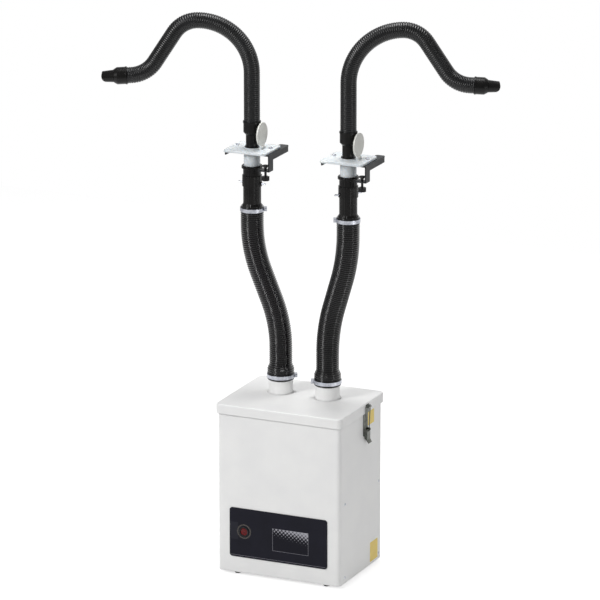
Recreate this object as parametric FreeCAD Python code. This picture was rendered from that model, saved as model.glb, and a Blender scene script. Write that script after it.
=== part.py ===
import FreeCAD, Part
import math
import os

# Fume extractor for two work places. A steel cabinet holds filters and a blower. On each of its
# two spigots stands a ribbed hose, which leads to a valve cuff, a bench plate and a stay-put arm.
# Millimetres, +Z up, front towards -Y. The origin is on the floor, under the cabinet's middle.

Vector = FreeCAD.Vector
X_AXIS = Vector(1, 0, 0)
Y_AXIS = Vector(0, 1, 0)
Z_AXIS = Vector(0, 0, 1)
ORIGIN = Vector(0, 0, 0)
QUARTER = math.pi / 2

# Clearances that all pieces share
seat_gap = 0.3
running_gap = 0.05
overrun = 5.0

# Cabinet body
body_width = 328.0
body_depth = 256.0
body_height = 421.0
body_corner = 10.0
body_sheet = 2.0
foot_height = 9.0
foot_radius = 9.0
foot_tip_radius = 7.5
foot_inset_x = 44.0
foot_inset_y = 23.0
foot_screw_radius = 2.2
foot_recess_radius = 4.6
foot_recess_depth = 5.0
pan_flange = 22.0

# Lid
lid_overhang = 5.0
lid_skirt = 25.0
lid_edge_radius = 3.0
lid_corner = 13.0
lid_seal_height = 6.0
lid_seal_width = 13.0

# Spigots on the lid
spigot_radius = 30.0
spigot_wall = 1.8
spigot_height = 60.0
spigot_spacing = 126.0
spigot_setback = 25.0
spigot_flange_width = 3.5
spigot_flange_thickness = 1.2
spigot_tail = 4.0
spigot_bevel = 0.6

# Filters, counted up from the shelf
shelf_height = 212.0
shelf_flange = 20.0
filter_width = 292.0
filter_depth = 220.0
filter_case_wall = 3.0
gas_filter_height = 70.0
gas_pocket_columns = 12
gas_pocket_rows = 9
gas_pocket_depth = 6.0
gas_pocket_share = 0.78
prefilter_thickness = 15.0
prefilter_recess = 2.0
filter_gasket_height = 12.0
filter_gasket_width = 9.0
pleat_count = 22
pleat_thickness = 2.0
pleat_share = 0.9

# Blower
blower_x = -20.0
blower_y = 5.0
scroll_radius = 70.0
scroll_step = 15.0
scroll_wall = 2.0
scroll_height = 78.0
inlet_radius = 44.0
inlet_wall = 3.0
motor_radius = 48.0
motor_height = 101.0
motor_flange_radius = 60.0
motor_flange_thickness = 5.0
motor_boss_radius = 20.0
motor_boss_height = 6.0
motor_boss_gap = 3.0
motor_fin_count = 16
motor_fin_depth = 3.0
motor_fin_width = 5.0
shaft_radius = 6.0
shaft_depth = 62.0
impeller_radius = 62.0
impeller_eye_radius = 42.0
impeller_height = 54.0
impeller_lift = 10.0
impeller_sheet = 3.0
hub_radius = 18.0
blade_count = 9
blade_sheet = 2.0
blade_lean = 38.0

# Rear panel with its exhaust slots, and the mains inlet in it
rear_panel_width = 270.0
rear_panel_height = 176.0
rear_panel_lift = 14.0
rear_panel_sheet = 1.5
rear_panel_corner = 6.0
rear_opening_margin = 12.0
slot_columns = 18
slot_rows = 2
slot_width = 5.0
slot_height = 52.0
slot_pitch_x = 10.5
slot_pitch_z = 60.0
slots_centre_x = 38.0
slots_centre_z = 126.0
power_x = -100.0
power_z = 58.0
power_flange_width = 50.0
power_flange_height = 30.0
power_flange_thickness = 2.5
power_body_width = 29.0
power_body_height = 22.0
power_body_depth = 22.0
power_socket_width = 24.5
power_socket_height = 16.5
power_socket_depth = 16.0
power_socket_bevel = 4.0
power_pin_thickness = 2.0
power_pin_height = 4.0
power_pin_length = 11.0
power_pin_spacing = 7.0
power_earth_rise = 3.4
power_live_drop = 1.0

# Control panel and its round rocker switch
panel_width = 262.0
panel_height = 126.0
panel_corner = 7.0
panel_thickness = 2.0
panel_lift = 41.0
switch_x = -92.0
switch_z = 117.0
bezel_radius = 12.5
bezel_bore = 9.8
bezel_barrel = 11.4
bezel_lip = 2.4
bezel_depth = 14.0
bezel_edge = 0.8
rocker_radius = 9.2
rocker_depth = 9.0
rocker_proud = 2.2
rocker_valley = 2.0
rocker_tilt = 7.0
rocker_pin_radius = 1.5
rocker_pin_depth = 4.0

# Small cabinet screws
screw_radius = 3.6
screw_dome = 1.8
screw_shank_radius = 1.7
screw_shank = 6.0
screw_wing_share = 0.6
screw_slot_share = 0.12
side_screw_front = 32.0
side_screw_back = 19.0
side_screw_low = 15.0
side_screw_high = 203.0
rear_screw_inset = 8.0

# Toggle latches, measured out from the body's side and up from the floor
latch_y = 25.0
latch_plate_width = 26.0
latch_plate_low = 354.0
latch_plate_high = 411.0
latch_plate_sheet = 1.5
latch_plate_corner = 3.0
latch_rivet_radius = 3.0
latch_rivet_height = 1.1
latch_rivet_rise = 36.0
latch_rivet_spacing = 7.0
lever_pivot_out = 6.0
lever_pivot_z = 368.0
lever_pin_radius = 1.5
lever_crank = 10.0
lever_crank_angle = 8.0
lever_eye_radius = 4.0
lever_width = 19.0
lever_sheet = 1.5
lever_reach = 24.0
lever_curl_length = 7.0
lever_curl_out = 4.5
lever_back_out = 2.4
lever_front_out = 9.5
ear_gap = 0.6
ear_sheet = 1.3
bail_wire_radius = 1.25
bail_width = 28.4
bail_wire_out = 7.75
bail_wire_z = 430.5
bail_bend = 4.0
keeper_width = 16.0
keeper_sheet = 1.2
keeper_plate_height = 16.0
keeper_tray_out = 4.45
keeper_lip = 1.1

# The two work places: axes, heights and the arms' bearing in plan
station_offset = 128.0
arm_bearing = 24.4
plate_top_z = 1056.0
plate_length = 112.0
plate_depth = 100.0
plate_thickness = 5.0
plate_corner = 9.0
plate_spigot_radius = 20.0
plate_spigot_reach = 60.0
plate_ring_width = 3.0
plate_ring_height = 2.0

# Flap that covers the plate's hole when the arm is out
flap_radius = 29.0
flap_thickness = 3.0
flap_hinge_x = 27.0
flap_hinge_z = 4.5
flap_pin_radius = 1.5
flap_knuckle_radius = 3.0
flap_knuckle_length = 14.0
flap_lug_thickness = 3.0
flap_rim_width = 2.5
flap_rim_height = 0.8

# Bench bracket, bent from one sheet
bracket_sheet = 3.0
bracket_left = 58.0
bracket_right = 63.0
bracket_front = 38.0
bracket_back = 36.0
bracket_strip_width = 24.0
bracket_strip_back = 80.0
bracket_hole_radius = 29.0
bracket_lip = 8.0
bracket_flange = 12.0
bracket_corner = 6.0
jaw_width = 24.0
jaw_drop = 36.0
jaw_reach = 25.0
jaw_screw_inset = 12.0

# Clamp screw, knob and pad
clamp_screw_radius = 3.0
clamp_pad_radius = 8.0
clamp_pad_thickness = 3.0
clamp_rise = 8.0
clamp_neck = 1.0
knob_radius = 9.5
knob_height = 10.0
knob_scallops = 6
knob_scallop_radius = 2.6
knob_drop = 14.0

# Screws and nuts through plate and bracket
plate_screw_x = 44.0
plate_screw_y = 13.0
plate_screw_radius = 2.5
plate_screw_head_radius = 5.0
plate_screw_head_height = 3.2
plate_screw_length = 20.0
plate_screw_slot_width = 1.4
plate_screw_slot_depth = 1.6
plate_screw_bevel = 0.8
plate_nut_across = 8.0
plate_nut_height = 4.5
plate_washer_radius = 6.0
plate_washer_height = 1.2

# Valve cuff, counted down from its rim
cuff_rim_z = 1013.0
cuff_rim_radius = 25.8
cuff_rim_height = 9.0
cuff_rim_bevel = 1.5
cuff_rim_drop = 2.2
cuff_neck_radius = 22.0
cuff_neck_end = 25.0
cuff_collar_radius = 24.3
cuff_collar_end = 52.0
cuff_body_end = 95.0
cuff_shoulder = 6.0
cuff_tail_radius = 25.0
cuff_tail_end = 141.0
cuff_tail_wall = 3.0
damper_depth = 45.0
damper_sheet = 1.6
damper_edge_gap = 0.5
spindle_radius = 2.2
spindle_reach = 36.0
spindle_boss_radius = 4.0
spindle_boss_height = 1.2

# Lower hoses
hose_bore = 25.3
hose_wall = 1.5
hose_rib = 1.7
hose_rib_pitch = 5.2
hose_lean = 20.0
hose_low_straight = 80.0
hose_high_straight = 46.0
hose_flare_length = 14.0
hose_overlap_low = 27.0
hose_tail_cover = 40.0
clip_width = 9.0
clip_sheet = 1.0
clip_lift = 5.0
clip_box_length = 15.0
clip_box_width = 9.0
clip_box_height = 6.0
clip_screw_radius = 3.2
clip_screw_length = 19.0
clip_screw_slot = 1.0

# Arms: routes of the ribbed hose from the cuff's seat upwards, then the nozzle
arm_hose_radius = 19.8
arm_hose_bore = 16.4
arm_rib = 1.1
arm_rib_pitch = 5.0
arm_pipe_radius = 15.0
arm_pipe_bore = 12.0
arm_pipe_foot = 4.0
arm_cuff_start = 33.0
arm_cuff_taper = 7.0
arm_cuff_radius = 21.0
arm_cuff_end = 67.0
arm_cuff_rim = 1.2
arm_cuff_rim_height = 3.5
arm_riser_end = 150.0
arm_flex_length = 36.0
arm_first_radius = 131.0
arm_second_radius = 67.0
arm_second_turn = 57.0
arm_slope_length = 86.5
arm_third_radius = 72.0
arm_third_turn = 54.0
arm_last_straight = 27.0
high_flex_length = 40.0
collar_length = 32.0
collar_cover = 16.0
collar_radius = 21.0
collar_lip_radius = 22.0
collar_lip_length = 3.5
collar_taper = 8.0
collar_front_radius = 16.4
collar_web = 1.2
nozzle_radius = 15.2
nozzle_mouth_radius = 12.8
nozzle_grip_radius = 14.2
nozzle_wall = 1.6
nozzle_grip = 13.0
nozzle_reach = 30.0
nozzle_lip_radius = 18.0
nozzle_lip_rise = 3.0

# Where one ring of four lies in a rib, as a share of the pitch, and whether it is on the crest
rib_share = ((0.0, False), (0.22, True), (0.58, True), (0.8, False))

# Heights and half sizes that follow from the values above
body_x = body_width / 2
body_y = body_depth / 2
body_top = foot_height + body_height
lid_under = body_top + lid_seal_height
lid_top = lid_under + body_sheet
lid_width = body_width + 2 * lid_overhang
lid_depth = body_depth + 2 * lid_overhang
inner_width = body_width - 2 * body_sheet
inner_depth = body_depth - 2 * body_sheet
pan_top = foot_height + body_sheet
shelf_top = foot_height + shelf_height
gas_filter_top = shelf_top + gas_filter_height
filter_top = lid_under - seat_gap - filter_gasket_height
motor_top = pan_top + motor_height
scroll_top = motor_top + scroll_height
scroll_mouth = 4 * scroll_step
spigot_top = lid_top + spigot_height
plate_under = plate_top_z - plate_thickness
bracket_under = plate_under - bracket_sheet
cuff_bore = plate_spigot_radius + seat_gap
plate_bore = arm_pipe_radius + running_gap
hose_low_end = spigot_top - hose_overlap_low
hose_high_end = cuff_rim_z - cuff_tail_end + hose_tail_cover
hose_crest = hose_bore + hose_wall + hose_rib
hose_flare = spigot_radius + seat_gap - hose_bore
arm_hose_seat = arm_cuff_start + arm_cuff_taper + seat_gap
jaw_x = bracket_right - bracket_sheet - jaw_screw_inset
jaw_y = -bracket_front + jaw_width / 2
jaw_top = bracket_under - jaw_drop


# Shared shapes


def disc(radius, height, point=ORIGIN, axis=Z_AXIS):
    return Part.makeCylinder(radius, height, point, axis)


def block(low, high):
    size = high.sub(low)
    return Part.makeBox(size.x, size.y, size.z, low)


def rounded_face(width, depth, corner):
    x = width / 2 - corner
    y = depth / 2 - corner
    edges = []
    ends = []
    for turn, (centre_x, centre_y) in enumerate(((x, y), (-x, y), (-x, -y), (x, -y))):
        circle = Part.Circle(Vector(centre_x, centre_y, 0), Z_AXIS, corner)
        arc = Part.ArcOfCircle(circle, turn * QUARTER, (turn + 1) * QUARTER)
        edges.append(arc.toShape())
        ends.append((arc.StartPoint, arc.EndPoint))
    for turn, (_, leaving) in enumerate(ends):
        arriving = ends[(turn + 1) % len(ends)][0]
        edges.append(Part.LineSegment(leaving, arriving).toShape())
    return Part.Face(Part.Wire(Part.__sortEdges__(edges)))


def slab(width, depth, corner, bottom, top):
    solid = rounded_face(width, depth, corner).extrude(Vector(0, 0, top - bottom))
    solid.translate(Vector(0, 0, bottom))
    return solid


def frame(width, depth, corner, rim, bottom, top):
    inner_corner = max(corner - rim, running_gap)
    outer = slab(width, depth, corner, bottom, top)
    inner = slab(width - 2 * rim, depth - 2 * rim, inner_corner, bottom - overrun, top + overrun)
    return outer.cut(inner)


def turned(profile):
    points = [Vector(radius, 0, height) for radius, height in profile]
    face = Part.Face(Part.makePolygon(points + points[:1]))
    return face.revolve(ORIGIN, Z_AXIS, 360)


def extruded(points, direction):
    return Part.Face(Part.makePolygon(points + points[:1])).extrude(direction)


def fused(*solids):
    return solids[0].fuse(list(solids[1:])).removeSplitter()


def moved(shape, x=0.0, y=0.0, z=0.0):
    copy = shape.copy()
    copy.translate(Vector(x, y, z))
    return copy


def placed(shape, point, axis, cross):
    # Stands a shape drawn along +Z on a point, with its own X along cross.
    turn = FreeCAD.Rotation(cross, axis.cross(cross), axis, "ZXY")
    copy = shape.copy()
    copy.Placement = FreeCAD.Placement(point, turn).multiply(copy.Placement)
    return copy


def mirrored(shape):
    return shape.mirror(ORIGIN, X_AXIS)


def save(name, *solids):
    shape = solids[0] if len(solids) == 1 else Part.makeCompound(list(solids))
    for solid in shape.Solids:
        if not solid.isValid() or solid.Volume <= 0:
            print("check", name, solid.isValid(), solid.Volume)
    shape.exportStep("parts/" + name + ".step")
    print(name, len(shape.Solids), round(shape.Volume))


# Ribbed hoses


def along(route, distance, heading):
    # Place and heading on a plane route of straight and round stretches.
    across = 0.0
    up = 0.0
    for length, turn in route:
        step = min(distance, length)
        if turn:
            bend = turn / length
            swung = heading + bend * step
            across += (math.sin(swung) - math.sin(heading)) / bend
            up += (math.cos(heading) - math.cos(swung)) / bend
            heading = swung
        else:
            across += math.cos(heading) * step
            up += math.sin(heading) * step
        distance -= step
        if distance <= 0:
            break
    return across, up, heading


class Plane:
    # An upright plane in which a hose runs: a starting point, a bearing in plan, and a route.
    def __init__(self, start, bearing, route, heading=QUARTER):
        self.start = start
        self.out = Vector(math.cos(bearing), math.sin(bearing), 0)
        self.normal = Z_AXIS.cross(self.out)
        self.route = route
        self.heading = heading

    def spot(self, distance):
        across, up, heading = along(self.route, distance, self.heading)
        point = self.start + self.out * across + Z_AXIS * up
        axis = self.out * math.cos(heading) + Z_AXIS * math.sin(heading)
        return point, axis

    def ring(self, distance, radius):
        point, axis = self.spot(distance)
        return placed(Part.Wire([Part.makeCircle(radius)]), point, axis, self.normal)

    def carry(self, shape, distance):
        point, axis = self.spot(distance)
        return placed(shape, point, axis, self.normal)


def ribbed_hose(plane, start, end, bore_at, wall, rib, pitch):
    ribs = round((end - start) / pitch)
    step = (end - start) / ribs
    outer = []
    inner = []
    for number in range(ribs):
        for share, crest in rib_share:
            distance = start + (number + share) * step
            radius = bore_at(distance) + wall + (rib if crest else 0)
            outer.append(plane.ring(distance, radius))
        inner.append(plane.ring(start + number * step, bore_at(start + number * step)))
    outer.append(plane.ring(end, bore_at(end) + wall))
    inner.append(plane.ring(end, bore_at(end)))
    tube = Part.makeLoft(outer, True, True)
    return tube.cut(Part.makeLoft(inner, True, True))


# Cabinet


def make_cabinet_shell():
    shell = frame(body_width, body_depth, body_corner, body_sheet, foot_height, body_top)
    opening_x = rear_panel_width / 2 - rear_opening_margin
    low = foot_height + rear_panel_lift + rear_opening_margin
    high = foot_height + rear_panel_lift + rear_panel_height - rear_opening_margin
    rear_low = Vector(-opening_x, body_y - body_sheet - overrun, low)
    rear = block(rear_low, Vector(opening_x, body_y + overrun, high))
    barrel_start = Vector(switch_x, -body_y - overrun, switch_z)
    barrel = disc(bezel_barrel + seat_gap, 2 * overrun, barrel_start, Y_AXIS)
    return shell.cut([rear, barrel] + cabinet_screw_holes())


def make_base_pan():
    width = inner_width - 2 * seat_gap
    depth = inner_depth - 2 * seat_gap
    corner = body_corner - body_sheet
    tray = slab(width, depth, corner, foot_height, foot_height + pan_flange)
    hollow = slab(
        width - 2 * body_sheet,
        depth - 2 * body_sheet,
        corner - body_sheet,
        pan_top,
        foot_height + pan_flange + overrun,
    )
    return tray.cut([hollow] + cabinet_screw_holes())


def make_shelf():
    width = inner_width - 2 * seat_gap
    depth = inner_depth - 2 * seat_gap
    corner = body_corner - body_sheet
    tray = slab(width, depth, corner, shelf_top - shelf_flange, shelf_top)
    hollow = slab(
        width - 2 * body_sheet,
        depth - 2 * body_sheet,
        corner - body_sheet,
        shelf_top - shelf_flange - overrun,
        shelf_top - body_sheet,
    )
    eye = disc(inlet_radius, 2 * overrun, Vector(blower_x, blower_y, shelf_top - overrun))
    return tray.cut([hollow, eye] + cabinet_screw_holes())


def make_feet():
    profile = (
        (foot_screw_radius, foot_height),
        (foot_screw_radius, foot_recess_depth),
        (foot_recess_radius, foot_recess_depth),
        (foot_recess_radius, 0),
        (foot_tip_radius, 0),
        (foot_radius, foot_radius - foot_tip_radius),
        (foot_radius, foot_height),
    )
    foot = turned(profile)
    x = body_x - foot_inset_x
    y = body_y - foot_inset_y
    return [moved(foot, side * x, end * y) for side in (-1, 1) for end in (-1, 1)]


def make_lid():
    box = slab(lid_width, lid_depth, lid_corner, lid_top - lid_skirt, lid_top)
    rim = [edge for edge in box.Edges if all(abs(v.Z - lid_top) < running_gap for v in edge.Vertexes)]
    box = box.makeFillet(lid_edge_radius, rim)
    hollow = slab(
        lid_width - 2 * body_sheet,
        lid_depth - 2 * body_sheet,
        lid_corner - body_sheet,
        lid_top - lid_skirt - overrun,
        lid_under,
    )
    holes = [
        disc(spigot_radius + seat_gap, 2 * overrun, Vector(x, spigot_setback, lid_top - overrun))
        for x in (-spigot_spacing / 2, spigot_spacing / 2)
    ]
    return box.cut([hollow] + holes)


def make_lid_seal():
    width = body_width - 2 * seat_gap
    depth = body_depth - 2 * seat_gap
    return frame(width, depth, body_corner, lid_seal_width, body_top, lid_under)


def make_spigots():
    bore = spigot_radius - spigot_wall
    flange = spigot_radius + spigot_flange_width
    profile = (
        (bore, lid_under - spigot_tail),
        (spigot_radius, lid_under - spigot_tail),
        (spigot_radius, lid_top),
        (flange, lid_top),
        (spigot_radius, lid_top + spigot_flange_thickness),
        (spigot_radius, spigot_top - spigot_bevel),
        (spigot_radius - spigot_bevel, spigot_top),
        (bore, spigot_top),
    )
    spigot = turned(profile)
    return [moved(spigot, x, spigot_setback) for x in (-spigot_spacing / 2, spigot_spacing / 2)]


# Filters


def make_gas_filter():
    case = slab(filter_width, filter_depth, filter_case_wall, shelf_top, gas_filter_top)
    pitch_x = (filter_width - 2 * filter_case_wall) / gas_pocket_columns
    pitch_y = (filter_depth - 2 * filter_case_wall) / gas_pocket_rows
    half_x = pitch_x * gas_pocket_share / 2
    half_y = pitch_y * gas_pocket_share / 2
    pockets = []
    for column in range(gas_pocket_columns):
        for row in range(gas_pocket_rows):
            x = (column + 0.5) * pitch_x - filter_width / 2 + filter_case_wall
            y = (row + 0.5) * pitch_y - filter_depth / 2 + filter_case_wall
            low = Vector(x - half_x, y - half_y, gas_filter_top - gas_pocket_depth)
            pockets.append(block(low, Vector(x + half_x, y + half_y, gas_filter_top + overrun)))
    return case.cut(pockets)


def make_particle_filter():
    case = frame(filter_width, filter_depth, filter_case_wall, filter_case_wall, gas_filter_top, filter_top)
    half = filter_width / 2 - filter_case_wall
    floor = gas_filter_top + pleat_thickness
    crest = filter_top - prefilter_thickness - prefilter_recess - pleat_thickness
    ridge = floor + (crest - floor) * pleat_share
    pitch = 2 * half / (2 * pleat_count)
    under = []
    over = []
    for number in range(2 * pleat_count + 1):
        x = -half + number * pitch
        z = ridge if number % 2 else floor
        under.append(Vector(x, 0, z - pleat_thickness))
        over.append(Vector(x, 0, z + pleat_thickness))
    length = filter_depth - 2 * filter_case_wall
    pleats = extruded(under + over[::-1], Vector(0, length, 0))
    return fused(case, moved(pleats, y=-length / 2))


def make_prefilter():
    width = filter_width - 2 * filter_case_wall - 2 * seat_gap
    depth = filter_depth - 2 * filter_case_wall - 2 * seat_gap
    top = filter_top - prefilter_recess
    return slab(width, depth, filter_case_wall, top - prefilter_thickness, top)


def make_filter_gasket():
    top = lid_under - seat_gap
    return frame(filter_width, filter_depth, filter_gasket_width, filter_gasket_width, filter_top, top)


# Blower


def scroll_solid(grow, bottom, top, mouth_y):
    # A spiral of four quarter arcs about the shaft, with its mouth towards the rear.
    centre = Vector(blower_x, blower_y, bottom)
    edges = []
    first = None
    for turn in range(4):
        radius = scroll_radius + turn * scroll_step + grow
        circle = Part.Circle(centre, Z_AXIS, radius)
        arc = Part.ArcOfCircle(circle, turn * QUARTER, (turn + 1) * QUARTER)
        edges.append(arc.toShape())
        first = first or arc.StartPoint
        last = arc.EndPoint
        angle = (turn + 1) * QUARTER
        centre = centre - Vector(math.cos(angle), math.sin(angle), 0) * scroll_step
    edges.append(Part.LineSegment(last, first).toShape())
    spiral = Part.Face(Part.Wire(edges)).extrude(Vector(0, 0, top - bottom))
    tongue = blower_x + scroll_radius
    low = Vector(tongue - grow, blower_y - scroll_step, bottom)
    duct = block(low, Vector(tongue + scroll_mouth - scroll_step + grow, mouth_y, top))
    return spiral.fuse(duct)


def make_blower_housing():
    mouth = inner_depth / 2 - seat_gap
    outer = scroll_solid(scroll_wall, motor_top, scroll_top, mouth)
    inner = scroll_solid(0, motor_top + scroll_wall, scroll_top - scroll_wall, mouth + overrun)
    shaft = Vector(blower_x, blower_y, 0)
    eye = disc(inlet_radius, 2 * overrun + scroll_wall, shaft + Z_AXIS * (scroll_top - overrun))
    boss = disc(motor_boss_radius + motor_boss_gap, 2 * overrun, shaft + Z_AXIS * (motor_top - overrun))
    cone_top = shelf_top - body_sheet
    cone_bottom = scroll_top - scroll_wall
    cone = disc(inlet_radius + inlet_wall, cone_top - cone_bottom, shaft + Z_AXIS * cone_bottom)
    bore = disc(inlet_radius, cone_top + 2 * overrun - scroll_top, shaft + Z_AXIS * (scroll_top - overrun))
    return outer.fuse(cone).cut([inner, eye, boss, bore]).removeSplitter()


def make_motor():
    seat = Vector(blower_x, blower_y, pan_top)
    can = disc(motor_radius, motor_height, seat)
    flange = disc(motor_flange_radius, motor_flange_thickness, seat)
    boss = disc(motor_boss_radius, motor_height + motor_boss_height, seat)
    bore_bottom = motor_top - shaft_depth
    bore = disc(
        shaft_radius + running_gap,
        shaft_depth + motor_boss_height + overrun,
        Vector(blower_x, blower_y, bore_bottom),
    )
    grooves = []
    for number in range(motor_fin_count):
        low = Vector(motor_radius - motor_fin_depth, -motor_fin_width / 2, 2 * motor_flange_thickness)
        high = Vector(motor_radius + overrun, motor_fin_width / 2, motor_height - 2 * motor_flange_thickness)
        groove = block(low, high)
        groove.rotate(ORIGIN, Z_AXIS, number * 360 / motor_fin_count)
        groove.translate(seat)
        grooves.append(groove)
    return fused(can, flange, boss).cut([bore] + grooves)


def make_impeller():
    base = motor_top + impeller_lift
    back = disc(impeller_radius, impeller_sheet, Vector(0, 0, base))
    hub = disc(hub_radius, impeller_height, Vector(0, 0, base))
    shroud_z = base + impeller_height - impeller_sheet
    shroud = disc(impeller_radius, impeller_sheet, Vector(0, 0, shroud_z))
    shroud = shroud.cut(disc(impeller_eye_radius, 2 * overrun, Vector(0, 0, shroud_z - overrun)))
    shaft_end = motor_top - shaft_depth + seat_gap
    shaft = disc(shaft_radius, base - shaft_end, Vector(0, 0, shaft_end))
    inner_radius = (hub_radius + impeller_eye_radius) / 2
    blade_length = impeller_radius - inner_radius
    blades = []
    for number in range(blade_count):
        low = Vector(0, -blade_sheet / 2, base)
        blade = block(low, Vector(blade_length, blade_sheet / 2, shroud_z + impeller_sheet))
        blade.rotate(ORIGIN, Z_AXIS, -blade_lean)
        blade.translate(Vector(inner_radius, 0, 0))
        blade.rotate(ORIGIN, Z_AXIS, number * 360 / blade_count)
        blades.append(blade)
    wheel = fused(back, hub, shroud, shaft, *blades)
    return moved(wheel, blower_x, blower_y)


# Rear panel and mains inlet


def make_rear_panel():
    face = rounded_face(rear_panel_width, rear_panel_height, rear_panel_corner)
    panel = face.extrude(Vector(0, 0, rear_panel_sheet))
    panel.rotate(ORIGIN, X_AXIS, -90)
    middle = foot_height + rear_panel_lift + rear_panel_height / 2
    panel.translate(Vector(0, body_y, middle))
    cuts = []
    for row in range(slot_rows):
        for column in range(slot_columns):
            x = slots_centre_x + (column - (slot_columns - 1) / 2) * slot_pitch_x
            z = slots_centre_z + (row - (slot_rows - 1) / 2) * slot_pitch_z
            low = Vector(x - slot_width / 2, body_y - overrun, z - slot_height / 2)
            high = Vector(x + slot_width / 2, body_y + overrun, z + slot_height / 2)
            cuts.append(block(low, high))
    half_x = power_body_width / 2 + seat_gap
    half_z = power_body_height / 2 + seat_gap
    low = Vector(power_x - half_x, body_y - overrun, power_z - half_z)
    cuts.append(block(low, Vector(power_x + half_x, body_y + overrun, power_z + half_z)))
    return panel.cut(cuts + cabinet_screw_holes())


def make_power_inlet():
    face_y = body_y + rear_panel_sheet + power_flange_thickness
    flange = rounded_face(power_flange_width, power_flange_height, power_socket_bevel)
    flange = flange.extrude(Vector(0, 0, power_flange_thickness))
    flange.rotate(ORIGIN, X_AXIS, -90)
    flange.translate(Vector(power_x, body_y + rear_panel_sheet, power_z))
    half_x = power_body_width / 2
    half_z = power_body_height / 2
    low = Vector(power_x - half_x, face_y - power_body_depth, power_z - half_z)
    body = fused(flange, block(low, Vector(power_x + half_x, body_y + rear_panel_sheet, power_z + half_z)))
    x = power_socket_width / 2
    z = power_socket_height / 2
    bevel = power_socket_bevel
    outline = ((-x, -z), (x, -z), (x, z - bevel), (x - bevel, z), (bevel - x, z), (-x, z - bevel))
    floor_y = face_y - power_socket_depth
    points = [Vector(power_x + across, floor_y, power_z + up) for across, up in outline]
    socket = extruded(points, Vector(0, power_socket_depth + overrun, 0))
    pins = []
    pin_places = (
        (-power_pin_spacing, -power_live_drop),
        (power_pin_spacing, -power_live_drop),
        (0, power_earth_rise),
    )
    for across, up in pin_places:
        low = Vector(
            power_x + across - power_pin_thickness / 2,
            floor_y - power_pin_thickness,
            power_z + up - power_pin_height / 2,
        )
        high = low + Vector(power_pin_thickness, power_pin_length + power_pin_thickness, power_pin_height)
        pins.append(block(low, high))
    return fused(body.cut(socket), *pins)


# Control panel and switch


def make_control_panel():
    panel = rounded_face(panel_width, panel_height, panel_corner).extrude(Vector(0, 0, panel_thickness))
    panel.rotate(ORIGIN, X_AXIS, 90)
    panel.translate(Vector(0, -body_y, foot_height + panel_lift + panel_height / 2))
    hole_start = Vector(switch_x, -body_y - overrun, switch_z)
    return panel.cut(disc(bezel_barrel + seat_gap, 2 * overrun, hole_start, Y_AXIS))


def make_switch_bezel():
    profile = (
        (bezel_bore, -bezel_lip),
        (bezel_radius - bezel_edge, -bezel_lip),
        (bezel_radius, -bezel_lip + bezel_edge),
        (bezel_radius, 0),
        (bezel_barrel, 0),
        (bezel_barrel, bezel_depth),
        (0, bezel_depth),
        (0, bezel_depth - bezel_edge),
        (bezel_bore, bezel_depth - bezel_edge),
    )
    face_y = -body_y - panel_thickness
    bezel = placed(turned(profile), Vector(switch_x, face_y, switch_z), Y_AXIS, X_AXIS)
    pin_start = Vector(switch_x - bezel_barrel + bezel_edge, face_y + rocker_pin_depth, switch_z)
    pin_bore = disc(rocker_pin_radius + running_gap, 2 * (bezel_barrel - bezel_edge), pin_start, X_AXIS)
    return bezel.cut(pin_bore)


def make_switch_rocker():
    face_y = -body_y - panel_thickness
    pivot = Vector(switch_x, face_y + rocker_pin_depth, switch_z)
    reach = rocker_radius + overrun
    front = -rocker_pin_depth - rocker_proud
    outline = (
        (front, -reach),
        (front + rocker_valley, 0),
        (front, reach),
        (front + rocker_depth, reach),
        (front + rocker_depth, -reach),
    )
    points = [Vector(-reach, deep, up) for deep, up in outline]
    wedge = extruded(points, Vector(2 * reach, 0, 0))
    round_key = disc(rocker_radius, 2 * reach, Vector(0, -reach, 0), Y_AXIS)
    pin_length = 2 * (bezel_barrel - 2 * bezel_edge)
    pin = disc(rocker_pin_radius, pin_length, Vector(-pin_length / 2, 0, 0), X_AXIS)
    key = fused(wedge.common(round_key), pin)
    key.rotate(ORIGIN, X_AXIS, rocker_tilt)
    key.translate(pivot)
    return key


# Small cabinet screws


def cabinet_screw_places():
    places = []
    for side in (-1, 1):
        for y in (side_screw_front - body_y, body_y - side_screw_back):
            for height in (side_screw_low, side_screw_high):
                point = Vector(side * body_x, y, foot_height + height)
                places.append((point, Vector(side, 0, 0), Y_AXIS))
    x = rear_panel_width / 2 - rear_screw_inset
    low = foot_height + rear_panel_lift + rear_screw_inset
    high = foot_height + rear_panel_lift + rear_panel_height - rear_screw_inset
    for across in (-x, 0, x):
        for z in (low, high):
            places.append((Vector(across, body_y + rear_panel_sheet, z), Y_AXIS, X_AXIS))
    return places


def cabinet_screw_holes():
    radius = screw_shank_radius + running_gap
    return [
        disc(radius, 2 * screw_shank, point - axis * screw_shank, axis)
        for point, axis, cross in cabinet_screw_places()
    ]


def make_panel_screws():
    bulge = (screw_radius ** 2 + screw_dome ** 2) / (2 * screw_dome)
    ball = Part.makeSphere(bulge, Vector(0, 0, screw_dome - bulge))
    head = ball.common(disc(screw_radius, 2 * screw_dome))
    shank = disc(screw_shank_radius, screw_shank, Vector(0, 0, -screw_shank))
    wing = screw_radius * screw_wing_share
    slot = screw_radius * screw_slot_share
    recess_z = screw_dome / 2
    recess = fused(
        block(Vector(-wing, -slot, recess_z), Vector(wing, slot, overrun)),
        block(Vector(-slot, -wing, recess_z), Vector(slot, wing, overrun)),
    )
    screw = fused(head, shank).cut(recess)
    return [placed(screw, *place) for place in cabinet_screw_places()]


# Toggle latches, drawn on the right side in the upright plane through the latch


def latch_point(out, z, y=0.0):
    return Vector(body_x + out, latch_y + y, z)


def crank_point():
    angle = math.radians(lever_crank_angle)
    out = lever_pivot_out - lever_crank * math.sin(angle)
    return out, lever_pivot_z - lever_crank * math.cos(angle)


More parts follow.
